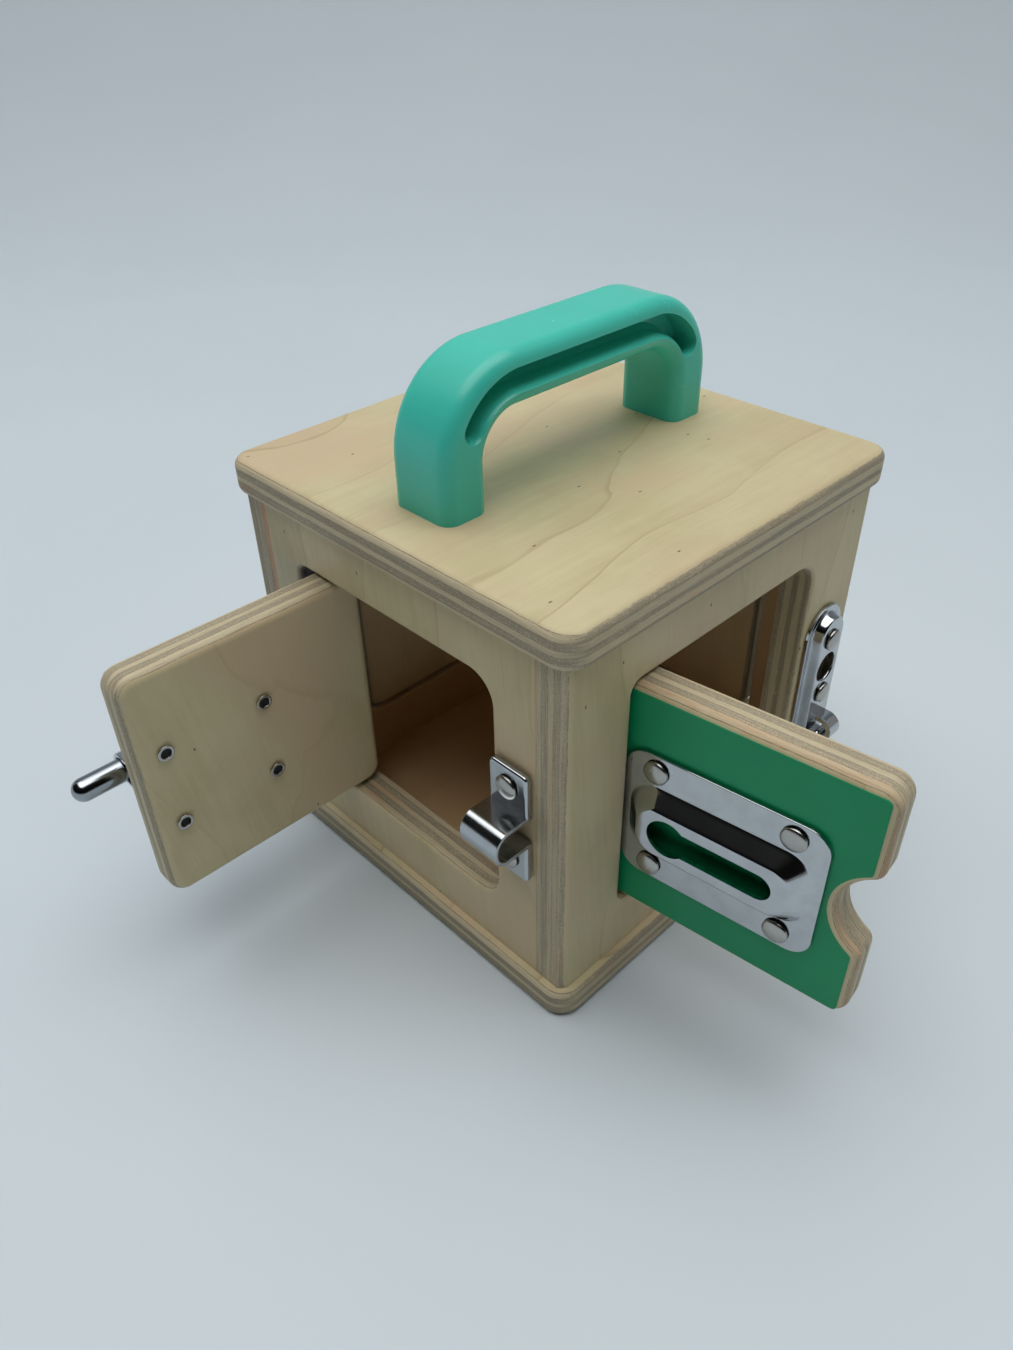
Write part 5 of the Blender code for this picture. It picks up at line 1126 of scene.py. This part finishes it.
# The back door's latch is a chromed lever that turns on a rivet in a small plate beside the doorway. Its
# tongue goes over the door's edge, and a small ball on its tail is the grip.
SWIVEL_U = LATCH_SIDE + 0.0100
SWIVEL_HALF = 0.0070
SWIVEL_HALF_HEIGHT = 0.0180
SWIVEL_CORNER = 0.0030
SWIVEL_SHEET = 0.0016
SWIVEL_ARRIS = 0.0004
SWIVEL_RIVET = 0.0135
HUB = 0.0048
HUB_HEIGHT = 0.0040
ARM_FOOT = -0.0140
ARM_TIP = 0.0190
ARM_HALF = 0.0032
PIVOT_SHANK = 0.0018
BALL = 0.0040
BALL_NECK = 0.0030
BALL_V = -0.0108
BALL_STEM = 0.0018
plate_top = SEAM + SWIVEL_SHEET
outline = rounded(-SWIVEL_HALF, -SWIVEL_HALF_HEIGHT, SWIVEL_HALF, SWIVEL_HALF_HEIGHT, SWIVEL_CORNER)
plate = slab([outline], SWIVEL_SHEET, SWIVEL_ARRIS, 4, plate_top)
at_swivel = SIDES["back"] @ at(SWIVEL_U, LATCH_V, 0)
plated("swivel_backplate", plate, at_swivel, "box", "swivel_plate")
rivets("swivel_rivets", [(0.0, way * SWIVEL_RIVET) for way in (-1, 1)], plate_top, at_swivel, "box")
hub_foot = plate_top + GAP
hub_top = hub_foot + HUB_HEIGHT
arm_top = hub_top - 0.0008
arm_foot = arm_top - SWIVEL_SHEET
arm = slab([capsule(0.0, ARM_FOOT, ARM_TIP, ARM_HALF)], SWIVEL_SHEET, SWIVEL_ARRIS, 4, arm_top)
hub = lathe(rounded_profile([(0.0, hub_top)] + stem(HUB, hub_top, hub_foot), 0.0005))
lever = carved(hub, [arm], "UNION")
plated("swivel_arm", lever, at_swivel, "back_swivel", "swivel_lever")
foot = hub_top + GAP
pivot = lathe(dome(RIVET_HEAD, foot, RIVET_DOME) + stem(PIVOT_SHANK, foot, SCREW_FOOT), 32)
plated("swivel_pivot_rivet", pivot, at_swivel, "box", "swivel_pivot")
head = ball(BALL, arm_top + GAP + BALL_NECK + BALL, BALL)
knob = lathe(head + [(BALL_STEM, arm_top + 0.0002), (BALL_STEM - GAP, arm_foot), (0.0, arm_foot)], 36)
knob = moved(knob, at(0, BALL_V, 0))
plated("swivel_ball", knob, at_swivel, "back_swivel", "swivel_knob")

# The ground is a sheet of pale paper. It lies flat under the box and curves up behind it, square to the way
# the camera looks.
CAMERA_TURN = radians(43.5)
GROUND_NEAR = -1.6
GROUND_FAR = 0.55
GROUND_BEND = 0.45
BACKDROP_TOP = 2.6
HALF_GROUND = 2.5
PAPER = (0.585, 0.660, 0.710)
PAPER_PALE = (0.625, 0.700, 0.750)
curve = arc(GROUND_FAR, GROUND_BEND, GROUND_BEND, -QUARTER, 0.0, 16)
profile = [(GROUND_NEAR, 0.0)] + curve + [(GROUND_FAR + GROUND_BEND, BACKDROP_TOP)]
to_camera = Matrix.Rotation(CAMERA_TURN, 3, "Z")
verts = [to_camera @ Vector((across, reach, height))
         for reach, height in profile for across in (-HALF_GROUND, HALF_GROUND)]
faces = [(2 * row, 2 * row + 1, 2 * row + 3, 2 * row + 2) for row in range(len(profile) - 1)]
ground = scratch("ground", smooth(drawn("sweep", verts, faces=faces), 60.0))
paper = Recipe("paper_sweep")
fibre = paper.noise(paper.place(), 6.0, 3.0)
paper.fill(paper.surface, {"Base Color": paper.mix(fibre, PAPER, PAPER_PALE), "Roughness": 0.75,
                           "Specular IOR Level": 0.2})
ground.data.materials.append(paper.made)

# One wide soft lamp hangs above. The room round it has a bright ceiling, a window's light on the left, and a
# darker side in front, which the plated pieces mirror.
overhead = bpy.data.lights.new("overhead", "AREA")
overhead.size = 1.7
overhead.energy = 11.8
lamp = scratch("overhead", overhead)
lamp.location = (-0.20, 0.02, 1.4)
lamp.rotation_euler = lamp.location.to_track_quat("Z", "Y").to_euler()

world = bpy.data.worlds.new("room")
room = Recipe("room", world)
x, y, z = room.parts(room.node("TexCoord", out="Generated"))
sky = z.between(0.55, 0.90)
window = (x * -0.90 + y * -0.10).between(0.20, 0.90) * (1.0 - sky)
dim = (x * 0.45 + y * -0.89).between(-0.20, 0.10) * z.between(0.0, 0.12) * (1.0 - z.between(0.80, 0.92))
glow = (0.29 + sky * 1.35 + window * 0.42) * (1.0 - dim * 0.98)
room.fill(room.surface, {"Color": (1.0, 0.985, 0.965, 1.0), "Strength": glow})
bpy.context.scene.world = world

# The camera's place, its way of looking and its lens, in pixels of the picture's height, were worked out from
# the corners of the top board.
CAMERA_PLACE = (0.1721, -0.1838, 0.2399)
ELEVATION = radians(36.85)
ROLL = radians(-1.38)
LENS = 1025.85
PICTURE_HEIGHT = 1350
SENSOR = 36.0
camera = scratch("camera", bpy.data.cameras.new("camera"))
camera.data.sensor_width = SENSOR
camera.data.lens = LENS / PICTURE_HEIGHT * SENSOR
camera.data.clip_start = 0.01
camera.data.clip_end = 20.0
tilt = spun(QUARTER - ELEVATION, "X")
roll = spun(ROLL)
camera.matrix_world = at(*CAMERA_PLACE) @ spun(QUARTER - CAMERA_TURN) @ tilt @ roll
bpy.context.scene.camera = camera
bpy.context.scene.view_settings.view_transform = "Standard"
